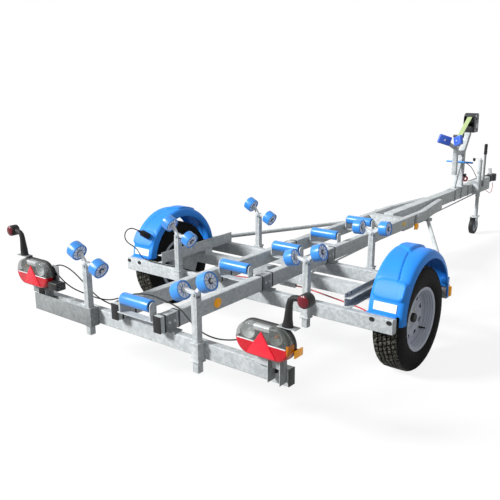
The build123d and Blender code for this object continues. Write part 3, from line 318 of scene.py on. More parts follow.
def tyre_rubber(name, colour, dust_colour, blocks):
    """Road tyre: dusty tread blocks cut by slanted sipes painted dark as shade, darker sidewall with fine
    moulded rings.
    """
    made, tree, shader = blank(name, IOR=1.5, Specular_IOR_Level=0.1)
    place = add(tree, "ShaderNodeTexCoord").outputs["Object"]
    hub = (0, AXLE_TO_ORIGIN / 1000, -WHEEL_Z / 1000)
    centred = add(tree, "ShaderNodeMapping", [("Vector", place), ("Location", hub)])
    axes = add(tree, "ShaderNodeSeparateXYZ", [("Vector", centred.outputs["Vector"])])
    flat = add(tree, "ShaderNodeCombineXYZ", [("Y", axes.outputs["Y"]), ("Z", axes.outputs["Z"])])
    reach = add(tree, "ShaderNodeVectorMath", [("Vector", flat.outputs["Vector"])], operation="LENGTH")
    radius = reach.outputs["Value"]
    angle = add(tree, "ShaderNodeMath",
                [(0, axes.outputs["Z"]), (1, axes.outputs["Y"])], operation="ARCTAN2")
    around = add(tree, "ShaderNodeMath",
                 [(0, angle.outputs["Value"]), (1, blocks / math.tau)], operation="MULTIPLY")
    slant = add(tree, "ShaderNodeMath",
                [(0, axes.outputs["X"]), (1, SIPE_SLANT), (2, around.outputs["Value"])],
                operation="MULTIPLY_ADD")
    step = add(tree, "ShaderNodeMath", [(0, slant.outputs["Value"])], operation="FRACT")
    sipe = add(tree, "ShaderNodeMath", [(0, step.outputs["Value"]), (1, SIPE_SHARE)], operation="LESS_THAN")
    tread = add(tree, "ShaderNodeMath", [(0, radius), (1, TREAD_FROM)], operation="GREATER_THAN")
    cut = add(tree, "ShaderNodeMath",
              [(0, sipe.outputs["Value"]), (1, tread.outputs["Value"])], operation="MULTIPLY")
    rings = add(tree, "ShaderNodeMath", [(0, radius), (1, WALL_RINGS)], operation="MULTIPLY")
    ripple = add(tree, "ShaderNodeMath", [(0, rings.outputs["Value"])], operation="SINE")
    dust = add(tree, "ShaderNodeTexNoise", [("Vector", place), ("Scale", 1 / TREAD_DUST), ("Detail", 4.0)])
    worn = add(tree, "ShaderNodeValToRGB", [("Fac", dust.outputs["Fac"])],
               [(0.42, linear(colour)), (0.6, linear(dust_colour))])
    dusty = add(tree, "ShaderNodeMix", [(0, tread.outputs["Value"])], data_type="RGBA")
    dusty.inputs["A"].default_value = linear(colour)
    tree.links.new(worn.outputs["Color"], dusty.inputs["B"])
    # Painted shade: the sipes take 0.3 of the rubber's colour, darker than the rubber, for the shade down in
    # the grooves.
    deep = add(tree, "ShaderNodeMix", [(0, cut.outputs["Value"])], data_type="RGBA")
    tree.links.new(dusty.outputs["Result"], deep.inputs["A"])
    deep.inputs["B"].default_value = dimmed(colour, 0.3)
    fall = add(tree, "ShaderNodeMath",
               [(0, ripple.outputs["Value"]), (1, 0.05), (2, 1.0)], operation="MULTIPLY_ADD")
    height = add(tree, "ShaderNodeMath",
                 [(0, fall.outputs["Value"]), (1, cut.outputs["Value"])], operation="SUBTRACT")
    bump = add(tree, "ShaderNodeBump",
               [("Strength", 0.8), ("Distance", 0.006), ("Height", height.outputs["Value"])])
    rough = add(tree, "ShaderNodeMapRange",
                [("Value", dust.outputs["Fac"]), ("To Min", 0.62), ("To Max", 0.85)])
    wire(tree, shader, Base_Color=deep.outputs["Result"], Roughness=rough.outputs["Result"],
         Normal=bump.outputs["Normal"])
    return made


def woven_strap(name, colour):
    """Polyester webbing: ribs across a strap and yarns along it, 2.5 and 4 mm apart so that they show."""
    made, tree, shader = blank(name, Roughness=0.8, Sheen_Weight=0.2)
    place = add(tree, "ShaderNodeTexCoord").outputs["Object"]
    across = add(tree, "ShaderNodeTexWave",
                 [("Vector", place), ("Scale", WAVE_REPEAT / 0.0025)], bands_direction="Y")
    along = add(tree, "ShaderNodeTexWave",
                [("Vector", place), ("Scale", WAVE_REPEAT / 0.004)], bands_direction="X")
    weave = add(tree, "ShaderNodeMath",
                [(0, across.outputs["Fac"]), (1, along.outputs["Fac"])], operation="MAXIMUM")
    ramp = add(tree, "ShaderNodeValToRGB", [("Fac", weave.outputs["Value"])],
               [(0.0, dimmed(colour, 0.6)), (1.0, linear(colour))])
    bump = add(tree, "ShaderNodeBump",
               [("Strength", 0.5), ("Distance", 0.0008), ("Height", weave.outputs["Value"])])
    wire(tree, shader, Base_Color=ramp.outputs["Color"], Normal=bump.outputs["Normal"])
    return made


def finish(name):
    """The material of that name, made when it is first asked for."""
    found = bpy.data.materials.get(name)
    if found:
        return found
    look = bpy.context.scene.trailer_colours
    size = bpy.context.scene.trailer_sizes
    # Zinc and silver paint: light and dark colour, width of a crystal or speck, metallic share
    metals = {
        "galvanised_steel": (look.zinc_light, look.zinc_dark, size.spangle, 0.1),
        "dull_zinc_and_shade": (look.dull_zinc_and_shade, look.dull_dark, size.spangle, 0.1),
        "plated_steel": (look.plated, look.zinc_light, 0.03, 0.3),
        "wheel_paint": (look.rim, look.rim, 0.05, 0.3),
        "lamp_bowl": (look.chrome, look.plated, 0.008, 0.3),
        "lamp_tray": (look.tray, look.dull_dark, 0.008, 0.3),
    }
    # Plastic, rubber, film and thick paint: colour, roughness, grain, its depth, darkest share, gloss
    mouldings = {
        "winch_paint": (look.winch, 0.42, 0.0012, 0.08, 0.85, 0.35),
        "guard_plastic": (look.guard, 0.48, 0.0015, 0.05, 0.92, 0.3),
        "roller_plastic": (look.roller, 0.3, 0.0015, 0.05, 0.9, 0.5),
        "pad_plastic": (look.pad, 0.4, 0.0015, 0.08, 0.9, 0.5),
        "hub_plastic": (look.hub, 0.45, 0.0015, 0.06, 0.92, 0.5),
        "soft_rubber": (look.plastic, 0.55, 0.0012, 0.15, 0.85, 0.3),
        "cap_plastic": (look.plastic, 0.45, 0.001, 0.12, 0.85, 0.3),
        "cable_sleeve": (look.sleeve, 0.4, 0.002, 0.1, 0.85, 0.5),
        "label_film": (look.label, 0.35, 0.003, 0.03, 0.97, 0.5),
        "type_plate": (look.plate, 0.4, 0.003, 0.03, 0.95, 0.5),
    }
    # Acrylic lenses: colour, pitch of the prisms, their slant in radians, and glow, a painted glow that
    # stands in for the light the side reflectors send back
    lenses = {
        "red_lens": (look.red_lens, 0.006, 0.0, 0.0),
        "marker_lens": (look.marker, 0.006, 0.0, 0.0),
        "triangle_lens": (look.triangle, 0.004, 0.9, 0.0),
        "amber_lens": (look.amber, 0.005, 0.5, 0.0),
        "side_reflector": (look.reflector, 0.003, 0.8, 0.35),
    }
    if name in metals:
        return galvanised_steel(name, *metals[name])
    if name in mouldings:
        return moulded(name, *mouldings[name])
    if name in lenses:
        return fluted_lens(name, *lenses[name])
    if name == "tyre_rubber":
        return tyre_rubber(name, look.rubber, look.dust, size.blocks)
    if name == "clear_lens":
        return clear_lens(name, look.clear)
    if name == "woven_strap":
        return woven_strap(name, look.strap)
    raise ValueError(name)


def rounded(shape, edges, round_by, steps, clamp=True):
    """Edges of a shape rounded in steps."""
    bmesh.ops.bevel(shape, geom=edges, offset=round_by, segments=steps, profile=0.5, affect="EDGES",
                    material=-1, clamp_overlap=clamp)


def box(low, high, round_by=0.0, steps=2):
    """A box between two corners, with rounded edges."""
    low, high = Vector(low), Vector(high)
    made = bmesh.new()
    place = Matrix.Translation((low + high) / 2) @ Matrix.Diagonal((*(high - low), 1.0))
    bmesh.ops.create_cube(made, size=1.0, matrix=place)
    if round_by:
        rounded(made, made.edges[:], round_by, steps)
    return made


def rod(start, end, radius, far_radius=None, sides=24, round_by=0.0):
    """A round bar or cone between two points, its end edges rounded."""
    start, end = Vector(start), Vector(end)
    line = end - start
    place = Matrix.Translation((start + end) / 2) @ line.to_track_quat("Z", "Y").to_matrix().to_4x4()
    made = bmesh.new()
    far_radius = radius if far_radius is None else far_radius
    bmesh.ops.create_cone(made, cap_ends=True, segments=sides, radius1=radius, radius2=far_radius,
                          depth=line.length, matrix=place)
    if round_by:
        rims = [edge for edge in made.edges if any(len(face.verts) == sides for face in edge.link_faces)]
        rounded(made, rims, round_by, 2)
    return made


def turned(profile, centre, axis, steps=40, closed=False):
    """A profile of places along an axis and radii, spun round it."""
    made = bmesh.new()
    points = [made.verts.new((along, radius, 0.0)) for along, radius in profile]
    lines = [made.edges.new(pair) for pair in zip(points, points[1:])]
    if closed:
        lines.append(made.edges.new((points[-1], points[0])))
    bmesh.ops.spin(made, geom=points + lines, cent=(0, 0, 0), axis=(1, 0, 0), angle=math.tau, steps=steps,
                   use_merge=True)
    bmesh.ops.remove_doubles(made, verts=made.verts, dist=0.001)
    bmesh.ops.recalc_face_normals(made, faces=made.faces)
    made.transform(Matrix.Translation(centre) @ Vector(axis).to_track_quat("X", "Z").to_matrix().to_4x4())
    return made


def both_ways(half):
    """Half a profile and its mirror image."""
    return half + [(-along, radius) for along, radius in reversed(half)]


def loft(rings, sides=20):
    """Rings of centre, direction, half width and half depth joined into one closed skin."""
    made = bmesh.new()
    loops = []
    for centre, direction, wide, deep in rings:
        place = Matrix.Translation(centre) @ Vector(direction).to_track_quat("Z", "Y").to_matrix().to_4x4()
        place = place @ Matrix.Diagonal((wide, deep, 1.0, 1.0))
        ring = bmesh.ops.create_circle(made, cap_ends=False, segments=sides, radius=1.0, matrix=place)
        loops.append(list({edge for point in ring["verts"] for edge in point.link_edges}))
    for near, far in zip(loops, loops[1:]):
        bmesh.ops.bridge_loops(made, edges=near + far)
    bmesh.ops.holes_fill(made, edges=made.edges, sides=0)
    bmesh.ops.recalc_face_normals(made, faces=made.faces)
    return made


def mixed(parts):
    """Several shapes as one that keep the material numbers they have."""
    whole = bmesh.new()
    for part in parts:
        mesh = bpy.data.meshes.new("part")
        part.to_mesh(mesh)
        part.free()
        whole.from_mesh(mesh)
        bpy.data.meshes.remove(mesh)
    return whole


def join(parts):
    """Several shapes as one, each with its material's number."""
    for part, number in parts:
        for face in part.faces:
            face.material_index = number
    return mixed([part for part, _ in parts])


def bolt(place, axis, size):
    """A hexagon head on its washer, in proportion to the thread's size."""
    place, axis = Vector(place), Vector(axis).normalized()
    seat = place + axis * 0.18 * size
    washer = rod(place, seat, 1.15 * size, sides=18, round_by=0.05 * size)
    head = rod(seat, place + axis * 0.85 * size, 0.92 * size, sides=6, round_by=0.08 * size)
    return mixed([washer, head])


def mirrored(shape):
    """A copy of a shape on the other side of the trailer."""
    other = shape.copy()
    other.transform(Matrix.Diagonal((-1, 1, 1, 1)))
    bmesh.ops.reverse_faces(other, faces=other.faces)
    return other


def piece(name, shape, finishes, body="frame", replaces=(), sharp=34.0, to_frame=TO_FRAME):
    """An object from a shape, placed in the frame, with its finishes, riding on its body."""
    shape.transform(to_frame)
    mesh = bpy.data.meshes.new(name)
    shape.to_mesh(mesh)
    shape.free()
    for face in mesh.polygons:
        face.use_smooth = True
    mesh.set_sharp_from_angle(angle=math.radians(sharp))
    for title in finishes:
        mesh.materials.append(finish(title))
    made = bpy.data.objects.new(name, mesh)
    bpy.context.scene.collection.objects.link(made)
    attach(made, body)
    if replaces:
        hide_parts(*replaces)
    return made


def body_of(node):
    """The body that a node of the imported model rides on."""
    for body, members in frame["record"]["behaviour"]["bodies"].items():
        if node in members:
            return body
    raise ValueError(node)


def eased(node, title, round_by, steps=2):
    """A copy of a node with its edges rounded, in place of the node."""
    shape = bmesh.new()
    shape.from_mesh(frame["nodes"][node].data)
    bmesh.ops.remove_doubles(shape, verts=shape.verts, dist=0.00001)
    bmesh.ops.dissolve_limit(shape, angle_limit=math.radians(1.0), verts=shape.verts, edges=shape.edges)
    sharp = [edge for edge in shape.edges
             if len(edge.link_faces) == 2 and edge.calc_face_angle() > math.radians(40)]
    rounded(shape, sharp, round_by, steps)
    return piece(node + "_eased", shape, [title], body_of(node), [node], to_frame=Matrix.Identity(4))


def paint(node, title):
    """A finish on a node that stays as it is."""
    thing = frame["nodes"][node]
    thing.data.materials.clear()
    thing.data.materials.append(finish(title))


def studio_world(scene):
    """White all round for the camera and for reflections, and a soft grey light on the object."""
    world = bpy.data.worlds.new("studio")
    scene.world = world
    world.use_nodes = True
    tree = world.node_tree
    path = add(tree, "ShaderNodeLightPath")
    seen = path.outputs["Is Camera Ray"]
    for ray in ("Is Glossy Ray", "Is Transmission Ray"):
        either = add(tree, "ShaderNodeMath", [(0, seen), (1, path.outputs[ray])], operation="MAXIMUM")
        seen = either.outputs["Value"]
    level = add(tree, "ShaderNodeMapRange", [("Value", seen), ("To Min", WORLD_STRENGTH), ("To Max", 1.0)])
    tree.links.new(level.outputs["Result"], tree.nodes["Background"].inputs["Strength"])
    tree.nodes["Background"].inputs["Color"].default_value = (1, 1, 1, 1)


def pale_floor(scene):
    """A white floor that keeps a faint shadow, and throws only a little light back on the object."""
    shape = bmesh.new()
    bmesh.ops.create_circle(shape, cap_ends=True, segments=64, radius=FLOOR_RADIUS)
    mesh = bpy.data.meshes.new("floor")
    shape.to_mesh(mesh)
    shape.free()
    floor = bpy.data.objects.new("floor", mesh)
    scene.collection.objects.link(floor)
    made, tree, shader = blank("floor_paint", Roughness=0.9, Specular_IOR_Level=0.0)
    path = add(tree, "ShaderNodeLightPath")
    tone = add(tree, "ShaderNodeMix", [("Factor", path.outputs["Is Diffuse Ray"])], data_type="RGBA")
    tone.inputs["A"].default_value = linear("#fbfbfb")
    tone.inputs["B"].default_value = linear("#878787")
    tree.links.new(tone.outputs["Result"], shader.inputs["Base Color"])
    glow = add(tree, "ShaderNodeEmission", [("Strength", 1.0)])
    share = add(tree, "ShaderNodeMapRange",
                [("Value", path.outputs["Is Camera Ray"]), ("To Max", FLOOR_GLOW)])
    mix = add(tree, "ShaderNodeMixShader",
              [(0, share.outputs["Result"]), (1, shader.outputs["BSDF"]), (2, glow.outputs["Emission"])])
    tree.links.new(mix.outputs["Shader"], tree.nodes["Material Output"].inputs["Surface"])
    mesh.materials.append(made)


def key_light(scene):
    """A wide key from behind on the left."""
    lamp = bpy.data.lights.new("key", "SUN")
    lamp.energy = KEY_STRENGTH
    lamp.angle = math.radians(KEY_WIDTH)
    holder = bpy.data.objects.new("key", lamp)
    holder.location = -KEY_DIRECTION
    holder.rotation_mode = "QUATERNION"
    holder.rotation_quaternion = KEY_DIRECTION.to_track_quat("-Z", "Y")
    scene.collection.objects.link(holder)


class TRAILER_OT_stage(bpy.types.Operator):
    """Camera at the photograph's angle, pale floor, soft key from behind on the left"""

    bl_idname = "trailer.stage"
    bl_label = "Stage"

    def execute(self, context):
        scene = context.scene
        scene.view_settings.view_transform = "Standard"
        lens = bpy.data.cameras.new("camera")
        lens.sensor_width = SENSOR_WIDTH
        lens.lens = SENSOR_WIDTH * FOCAL_PIXELS / PHOTO_PIXELS
        lens.clip_end = 200.0
        camera = bpy.data.objects.new("camera", lens)
        scene.collection.objects.link(camera)
        azimuth, height = math.radians(CAMERA_AZIMUTH), math.radians(CAMERA_HEIGHT)
        flat = math.cos(height)
        back = Vector((math.sin(azimuth) * flat, -math.cos(azimuth) * flat, math.sin(height)))
        camera.rotation_mode = "QUATERNION"
        level = (-back).to_track_quat("-Z", "Y")
        camera.rotation_quaternion = level @ Quaternion((0, 0, 1), math.radians(CAMERA_ROLL))
        camera.location = TO_FRAME @ Vector(CAMERA_PLACE)
        scene.camera = camera
        studio_world(scene)
        pale_floor(scene)
        key_light(scene)
        return {"FINISHED"}


# Lamp leads and the plug lead: points of the route in millimetres, with Y from the wheel axle
LEAD_CROSS = (
    (690, -1152.5, 492), (690, -1128, 492), (645, -1112, 474), (578, -1106, 446), (507, -1100, 425),
    (435, -1094, 414), (365, -1088, 418), (300, -1078, 436), (245, -1066, 462), (200, -1056, 486),
    (150, -1052, 500), (85, -1060, 514), (15, -1072, 530), (-55, -1082, 528), (-110, -1090, 514),
    (-150, -1096, 500), (-200, -1100, 478), (-260, -1104, 456), (-325, -1100, 443), (-390, -1094, 437),
    (-455, -1092, 438), (-520, -1096, 444), (-582, -1100, 454), (-638, -1104, 474), (-676, -1110, 503),
    (-690, -1128, 538), (-690, -1152.5, 538),
)
LEAD_LEFT = (
    (-698, -1152.5, 566), (-698, -1128, 566), (-676, -1106, 574), (-630, -1097, 569), (-573, -1092, 546),
    (-523, -1088, 514), (-476, -1084, 481), (-430, -1081, 451), (-378, -1080, 430), (-318, -1076, 417),
    (-258, -1067, 408), (-208, -1052, 412), (-175, -1052, 412),
)
LEAD_PLUG = (
    (-175, -276, 412), (-215, -276, 412), (-255, -312, 403.5), (-300, -324, 399.4), (-355, -329, 398.2),
    (-415, -330, 398.8), (-475, -331, 398.2), (-535, -332, 398.8), (-595, -335, 398.2), (-655, -337, 398.8),
    (-715, -338, 398.2), (-770, -336, 399.4), (-830, -333, 403.9), (-848, -335, 413), (-860, -344, 437),
    (-868, -358, 469), (-872, -388, 497), (-873, -424, 522), (-873, -450, 552), (-872, -455, 588),
    (-871, -435, 614), (-870, -400, 620), (-870, -362.06, 605.53), (-870, -340.25, 591.74),
)


class TRAILER_OT_leads(bpy.types.Operator):
    """Lamp leads over the rails, and the plug lead that loops over the left mudguard"""

    bl_idname = "trailer.leads"
    bl_label = "Leads"

    def execute(self, context):
        plug = plug_piece()
        for node, route, length, far_end, carried in (
            ("lead_cross", LEAD_CROSS, 1.520, "object", []),
            ("lead_left", LEAD_LEFT, 0.598, "object", []),
            ("lead_plug", LEAD_PLUG, 1.041, "plug", [plug]),
        ):
            curve = bpy.data.curves.new(node + "_cord", "CURVE")
            curve.dimensions = "3D"
            curve.bevel_depth = LEAD_DIAMETER / 2
            curve.bevel_resolution = 3
            curve.resolution_u = 8
            curve.use_fill_caps = True
            line = curve.splines.new("NURBS")
            line.points.add(len(route) - 1)
            for point, place in zip(line.points, route):
                point.co = (*(TO_FRAME @ Vector(place)), 1.0)
            line.order_u = 3
            line.use_endpoint_u = True
            curve.materials.append(finish("soft_rubber"))
            made = bpy.data.objects.new(node + "_cord", curve)
            context.scene.collection.objects.link(made)
            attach(made, "frame")
            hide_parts(node)
        return {"FINISHED"}


def plug_piece():
    """Seven-pin plug: ribbed grip, collar and a tapered gland where the lead comes out."""
    angle = math.radians(57.7)
    out = Vector((0, -math.sin(angle), math.cos(angle)))
    face = GUARD_CENTRE + Vector((-870, 0, 0)) + out * 316.2
    profile = [(0, 0), (0, 20), (1, 22), (16, 22), (18, 20)]
    for rib in range(6):
        profile += [(20 + 8 * rib, 19), (22 + 8 * rib, 21.5), (26 + 8 * rib, 21.5)]
    profile += [(70, 18), (75, 15), (78, 11), (110, 5.5), (110, 0)]
    grip = turned(profile, face, out, 28)
    return piece("trailer_plug_grip", grip, ["cap_plastic"], "frame", ["trailer_plug"])


STEEL = (
    "drawbar_ties", "drawbar", "cross_beams", "side_channels", "axle", "braces",
    "roller_posts", "post_clamps", "winch_post", "overrun_housing", "brake_linkage",
    "jockey_tube", "jockey_fork", "jockey_leg", "keel_cradles",
)


class TRAILER_OT_steelwork(bpy.types.Operator):
    """Galvanised rails, beams, posts and brackets with rounded edges, and their black end caps"""

    bl_idname = "trailer.steelwork"
    bl_label = "Steelwork"

    def execute(self, context):
        size = context.scene.trailer_sizes
        eased("rails", "galvanised_steel", size.tube, 3)
        for node in STEEL:
            eased(node, "galvanised_steel", size.edge, 2)
        for node in ("rail_angles", "handbrake_lever"):
            eased(node, "dull_zinc_and_shade", size.edge, 2)
        plates = eased("lamp_plates", "dull_zinc_and_shade", size.edge, 2)
        plates.data.materials.append(finish("galvanised_steel"))
        for face in plates.data.polygons:
            face.material_index = 1 if face.center.x > 0 and abs(face.normal.y) > 0.7 else 0
        for node in frame["nodes"]:
            if node.startswith("rocker_"):
                eased(node, "plated_steel", size.edge, 2)
        eased("end_caps", "cap_plastic", size.edge, 2)
        paint("brake_cables", "cable_sleeve")
        return {"FINISHED"}


class TRAILER_OT_wheels(bpy.types.Operator):
    """Road tyres with tread, and silver steel wheels with their bolts, hub caps and valves"""

    bl_idname = "trailer.wheels"
    bl_label = "Road wheels"

    def execute(self, context):
        deep = context.scene.trailer_sizes.groove * 1000
        half = [(71, 164), (71, 178), (79, 192), (84, 214), (85, 232), (83, 256), (77, 274), (69, 286)]
        half += [(58, 293)]
        for middle in (37, 12.5):
            half += [(middle + 4, WHEEL_Z), (middle + 3, WHEEL_Z - deep)]
            half += [(middle - 3, WHEEL_Z - deep), (middle - 4, WHEEL_Z)]
        profile = both_ways(half)
        for name, side in SIDES:
            centre = (side * WHEEL_X, 0, WHEEL_Z)
            tyre = turned(profile, centre, (1, 0, 0), 38, closed=True)
            piece("tyre_%s_tread" % name, tyre, ["tyre_rubber"], "wheel_" + name, ["tyre_" + name])
            piece("rim_%s_steel" % name, wheel_shape(side),
                  ["wheel_paint", "plated_steel", "soft_rubber", "cap_plastic"],
                  "wheel_" + name, ["rim_" + name])
        return {"FINISHED"}


def wheel_shape(side):
    """A pressed steel wheel: stepped rim, dished disc with round holes, bolts, dark hub cap and valve."""
    rim = turned([
        (76, 178), (74, 180), (70, 178), (69, 166), (50, 163), (34, 158), (-10, 150), (-30, 162),
        (-69, 166), (-70, 178), (-74, 180), (-76, 178), (-74, 160), (-34, 157), (-14, 144), (10, 145),
        (20, 147), (22, 150), (34, 150.5), (36, 154), (48, 154.5), (50, 158), (61, 158.5), (63, 162),
        (72, 162.5), (75, 168),
    ], (0, 0, 0), (1, 0, 0), 72, closed=True)
    dish = [(12, 147), (8, 141), (8, 135), (11, 130), (14, 126), (16, 122), (17.5, 118), (18.5, 114),
            (19, 110), (19, 106), (18.5, 102), (17.5, 98), (16, 94), (14, 90), (11, 82), (9, 72),
            (9, 62), (12, 56), (13, 24)]
    disc = turned(dish, (0, 0, 0), (1, 0, 0), 120)
    holes = []
    for face in disc.faces:
        middle = face.calc_center_median()
        for number in range(WHEEL_HOLES):
            turn = math.tau * (number + 0.5) / WHEEL_HOLES
            across, up = HOLE_CIRCLE * math.cos(turn), HOLE_CIRCLE * math.sin(turn)
            if math.hypot(middle.y - across, middle.z - up) < HOLE_RADIUS:
                holes.append(face)
    bmesh.ops.delete(disc, geom=holes, context="FACES")
    for _ in range(4):
        rims = {v for e in disc.edges if e.is_boundary for v in e.verts}
        rims = [v for v in rims if 80 < math.hypot(v.co.y, v.co.z) < 140]
        bmesh.ops.smooth_vert(disc, verts=rims, factor=0.5, use_axis_x=True, use_axis_y=True, use_axis_z=True)
    bmesh.ops.solidify(disc, geom=disc.faces[:], thickness=4.0)
    drum = turned([(-14, 144), (-18, 100), (-18, 60)], (0, 0, 0), (1, 0, 0), 48)
    parts = [(rim, 0), (disc, 0), (drum, 3)]
    parts.append((turned([(-10, 62), (8, 62)], (0, 0, 0), (1, 0, 0), 48), 3))
    parts.append((turned([(12, 40), (16, 39), (19, 35), (21, 30), (21, 24)], (0, 0, 0), (1, 0, 0), 40), 1))
    parts.append((turned([(14, 27), (36, 25), (40, 22), (42, 14), (42.5, 0)], (0, 0, 0), (1, 0, 0), 32), 3))
    for number in range(4):
        turn = math.radians(45 + 90 * number)
        spot = Vector((12, 51 * math.cos(turn), 51 * math.sin(turn)))
        parts.append((bolt(spot, (1, 0, 0), 11.0), 1))
    valve = rod((14, 112 * side, -94), (56, 106 * side, -88), 5.5, 3.8, 14, 0.8)
    parts.append((valve, 2))
    whole = join(parts)
    if side < 0:
        whole.transform(Matrix.Rotation(math.pi, 4, "Z"))
    whole.transform(Matrix.Translation((side * WHEEL_X, 0, WHEEL_Z)))
    return whole


class TRAILER_OT_mudguards(bpy.types.Operator):
    """Moulded blue mudguards with a raised crown, rolled lips, feet, blank stickers and reflectors"""

    bl_idname = "trailer.mudguards"
    bl_label = "Mudguards"

    def execute(self, context):
        wall = context.scene.trailer_sizes.shell * 1000
        right = guard_shape(wall)
        left = mirrored(right)
        piece("mudguards_moulded", mixed([right, left]),
              ["guard_plastic", "label_film", "side_reflector", "plated_steel"],
              "frame", ["mudguards"], sharp=50)
        return {"FINISHED"}


def soft_step(value, width):
    """A rise from 0 to 1 over a width, level at both ends."""
    share = min(1.0, max(0.0, value / width))
    return share * share * (3 - 2 * share)


def guard_relief(x, turn):
    """Height of the mudguard's relief: band and crown, and at its rear a groove and a pillow."""
    away = max(0.0, -turn)
    groove = 905 + 31 * min(1.0, max(0.0, (away - 15) / 34))
    band = soft_step(x - 810, 8) * soft_step(groove - x, 6) * soft_step(53 - away, 3)
    notch = soft_step(5 - abs(x - groove - 2), 5) * soft_step(away - 12, 4) * soft_step(52 - away, 3)
    rear = turn + 6.5 + 0.11 * (x - 842)
    crown = soft_step(x - 818, 8) * soft_step(914 - x, 8) * soft_step(rear, 3) * soft_step(27 - turn, 3)
    corner = (abs((x - 905) / 98) ** 5 + abs((away - 61) / 10.5) ** 4) ** 0.2
    pillow = soft_step(1.0 - corner, 0.16)
    return 4.5 * band - 3.5 * notch + 10.0 * crown + pillow * (7.0 + 0.5 * max(0.0, x - 960))


def guard_shape(wall):
    """The right mudguard: a section swept over the wheel, with relief, its foot trimmed to the beams."""
    section = [(803, 268), (800, 271), (800, 300), (801, 307), (804, 312), (808, 315)]
    section += [(812 + 4 * number, 316) for number in range(35)]
    section += [(955, 315.6), (963, 314.6), (971, 313), (979, 310.5), (986, 307), (992, 302), (996.5, 295)]
    section += [(999, 287), (1000, 279), (1002, 275), (1003, 271), (1001, 268), (997, 268)]
    middle_y, middle_z = GUARD_CENTRE.yz
    shell = bmesh.new()
    spread = math.radians(94.7)
    points = [shell.verts.new((x, middle_y - r * math.sin(spread), middle_z + r * math.cos(spread)))
              for x, r in section]
    lines = [shell.edges.new(pair) for pair in zip(points, points[1:])]
    bmesh.ops.spin(shell, geom=points + lines, cent=GUARD_CENTRE, axis=(1, 0, 0), angle=-2 * spread,
                   steps=160)
    bmesh.ops.remove_doubles(shell, verts=shell.verts, dist=0.001)
    for point in shell.verts:
        out = point.co - GUARD_CENTRE
        out.x = 0.0
        if out.length > 300:
            turn = math.degrees(math.atan2(out.y, out.z))
            point.co += out.normalized() * guard_relief(point.co.x, turn)
    low = [f for f in shell.faces if f.calc_center_median().x < 980 and all(v.co.z < 394 for v in f.verts)]
    bmesh.ops.delete(shell, geom=low, context="FACES")
    for point in shell.verts:
        if point.co.x < 978 and point.co.z < 394:
            point.co.z = 394.2
    bmesh.ops.recalc_face_normals(shell, faces=shell.faces)
    bmesh.ops.solidify(shell, geom=shell.faces[:], thickness=wall)
    parts = [(shell, 0)]
    parts.append((box((808, -320, 394.3), (972, -290, 399), 1.5), 0))
    parts.append((box((808, 329, 394.3), (972, 366, 399), 1.5), 0))
    for x in (840, 940):
        parts.append((bolt((x, 350, 399), (0, 0, 1), 7.0), 3))
    for number in range(8):
        turn = math.radians(-81.0 + number)
        film = box((832, -0.6, -3.0), (962, 0.6, 3.0))
        spot = (0, middle_y + 317.2 * math.sin(turn), middle_z + 317.2 * math.cos(turn))
        film.transform(Matrix.Translation(spot) @ Matrix.Rotation(-turn - math.pi / 2, 4, "X"))
        parts.append((film, 1))
    parts.append((box((956, 292, 420), (997, 322, 460), 5.0), 0))
    parts.append((box((982, 327, 340), (1005, 347, 398), 4.0), 2))
    return join(parts)


class TRAILER_OT_keel_rollers(bpy.types.Operator):
    """Blue keel rollers with rounded ends and dark end discs"""

    bl_idname = "trailer.keel_rollers"
    bl_label = "Keel rollers"

    def execute(self, context):
        for number, y in enumerate(KEEL_Y, start=1):
            name = "keel_roller_%d" % number
            half = [(97, 8.2), (97, 22), (98.5, 23), (100, 25), (100, 28), (98, 31), (94, 32), (40, 31.6)]
            tube = turned(both_ways(half), (0, y, KEEL_Z), (1, 0, 0), 40, closed=True)
            parts = [(tube, 0)]
            for side in (-1, 1):
                rings = [(97.2, 9), (98.4, 10), (98.4, 20), (97.2, 21.5)]
                parts.append((turned(rings, (0, y, KEEL_Z), (side, 0, 0), 32), 1))
            piece(name + "_cast", join(parts), ["roller_plastic", "cap_plastic"], name, [name])
        return {"FINISHED"}


# Side roller posts: name, side, X, Y, height of the top, inward lean in degrees
POSTS = (
    ("rear_left", -1, 384, -1151, 618, 22), ("rear_right", 1, 384, -1151, 618, 24),
    ("mid_left", -1, 474, -375, 604, 26), ("mid_right", 1, 474, -375, 604, 18),
    ("front_left", -1, 445, 413, 600, 26), ("front_right", 1, 445, 413, 600, 4),
)


class TRAILER_OT_side_rollers(bpy.types.Operator):
    """Blue side rollers with spoked pale hubs, two on each swinging bracket"""

    bl_idname = "trailer.side_rollers"
    bl_label = "Side rollers"

    def execute(self, context):
        spokes = context.scene.trailer_sizes.spokes
        for name, side, x, y, top, lean in POSTS:
            tilt = Matrix.Rotation(math.radians(-side * lean), 4, "Y")
            seat = Matrix.Translation((side * x, y, top + 18)) @ tilt
            wheels = []
            for place in (-90, 90):
                wheel = side_wheel(spokes)
                wheel.transform(seat @ Matrix.Translation((place, 0, 34)))
                wheels.append(wheel)
            node = "side_wheels_" + name
            piece(node + "_cast", mixed(wheels), ["roller_plastic", "hub_plastic", "cap_plastic"],
                  node, [node])
        return {"FINISHED"}


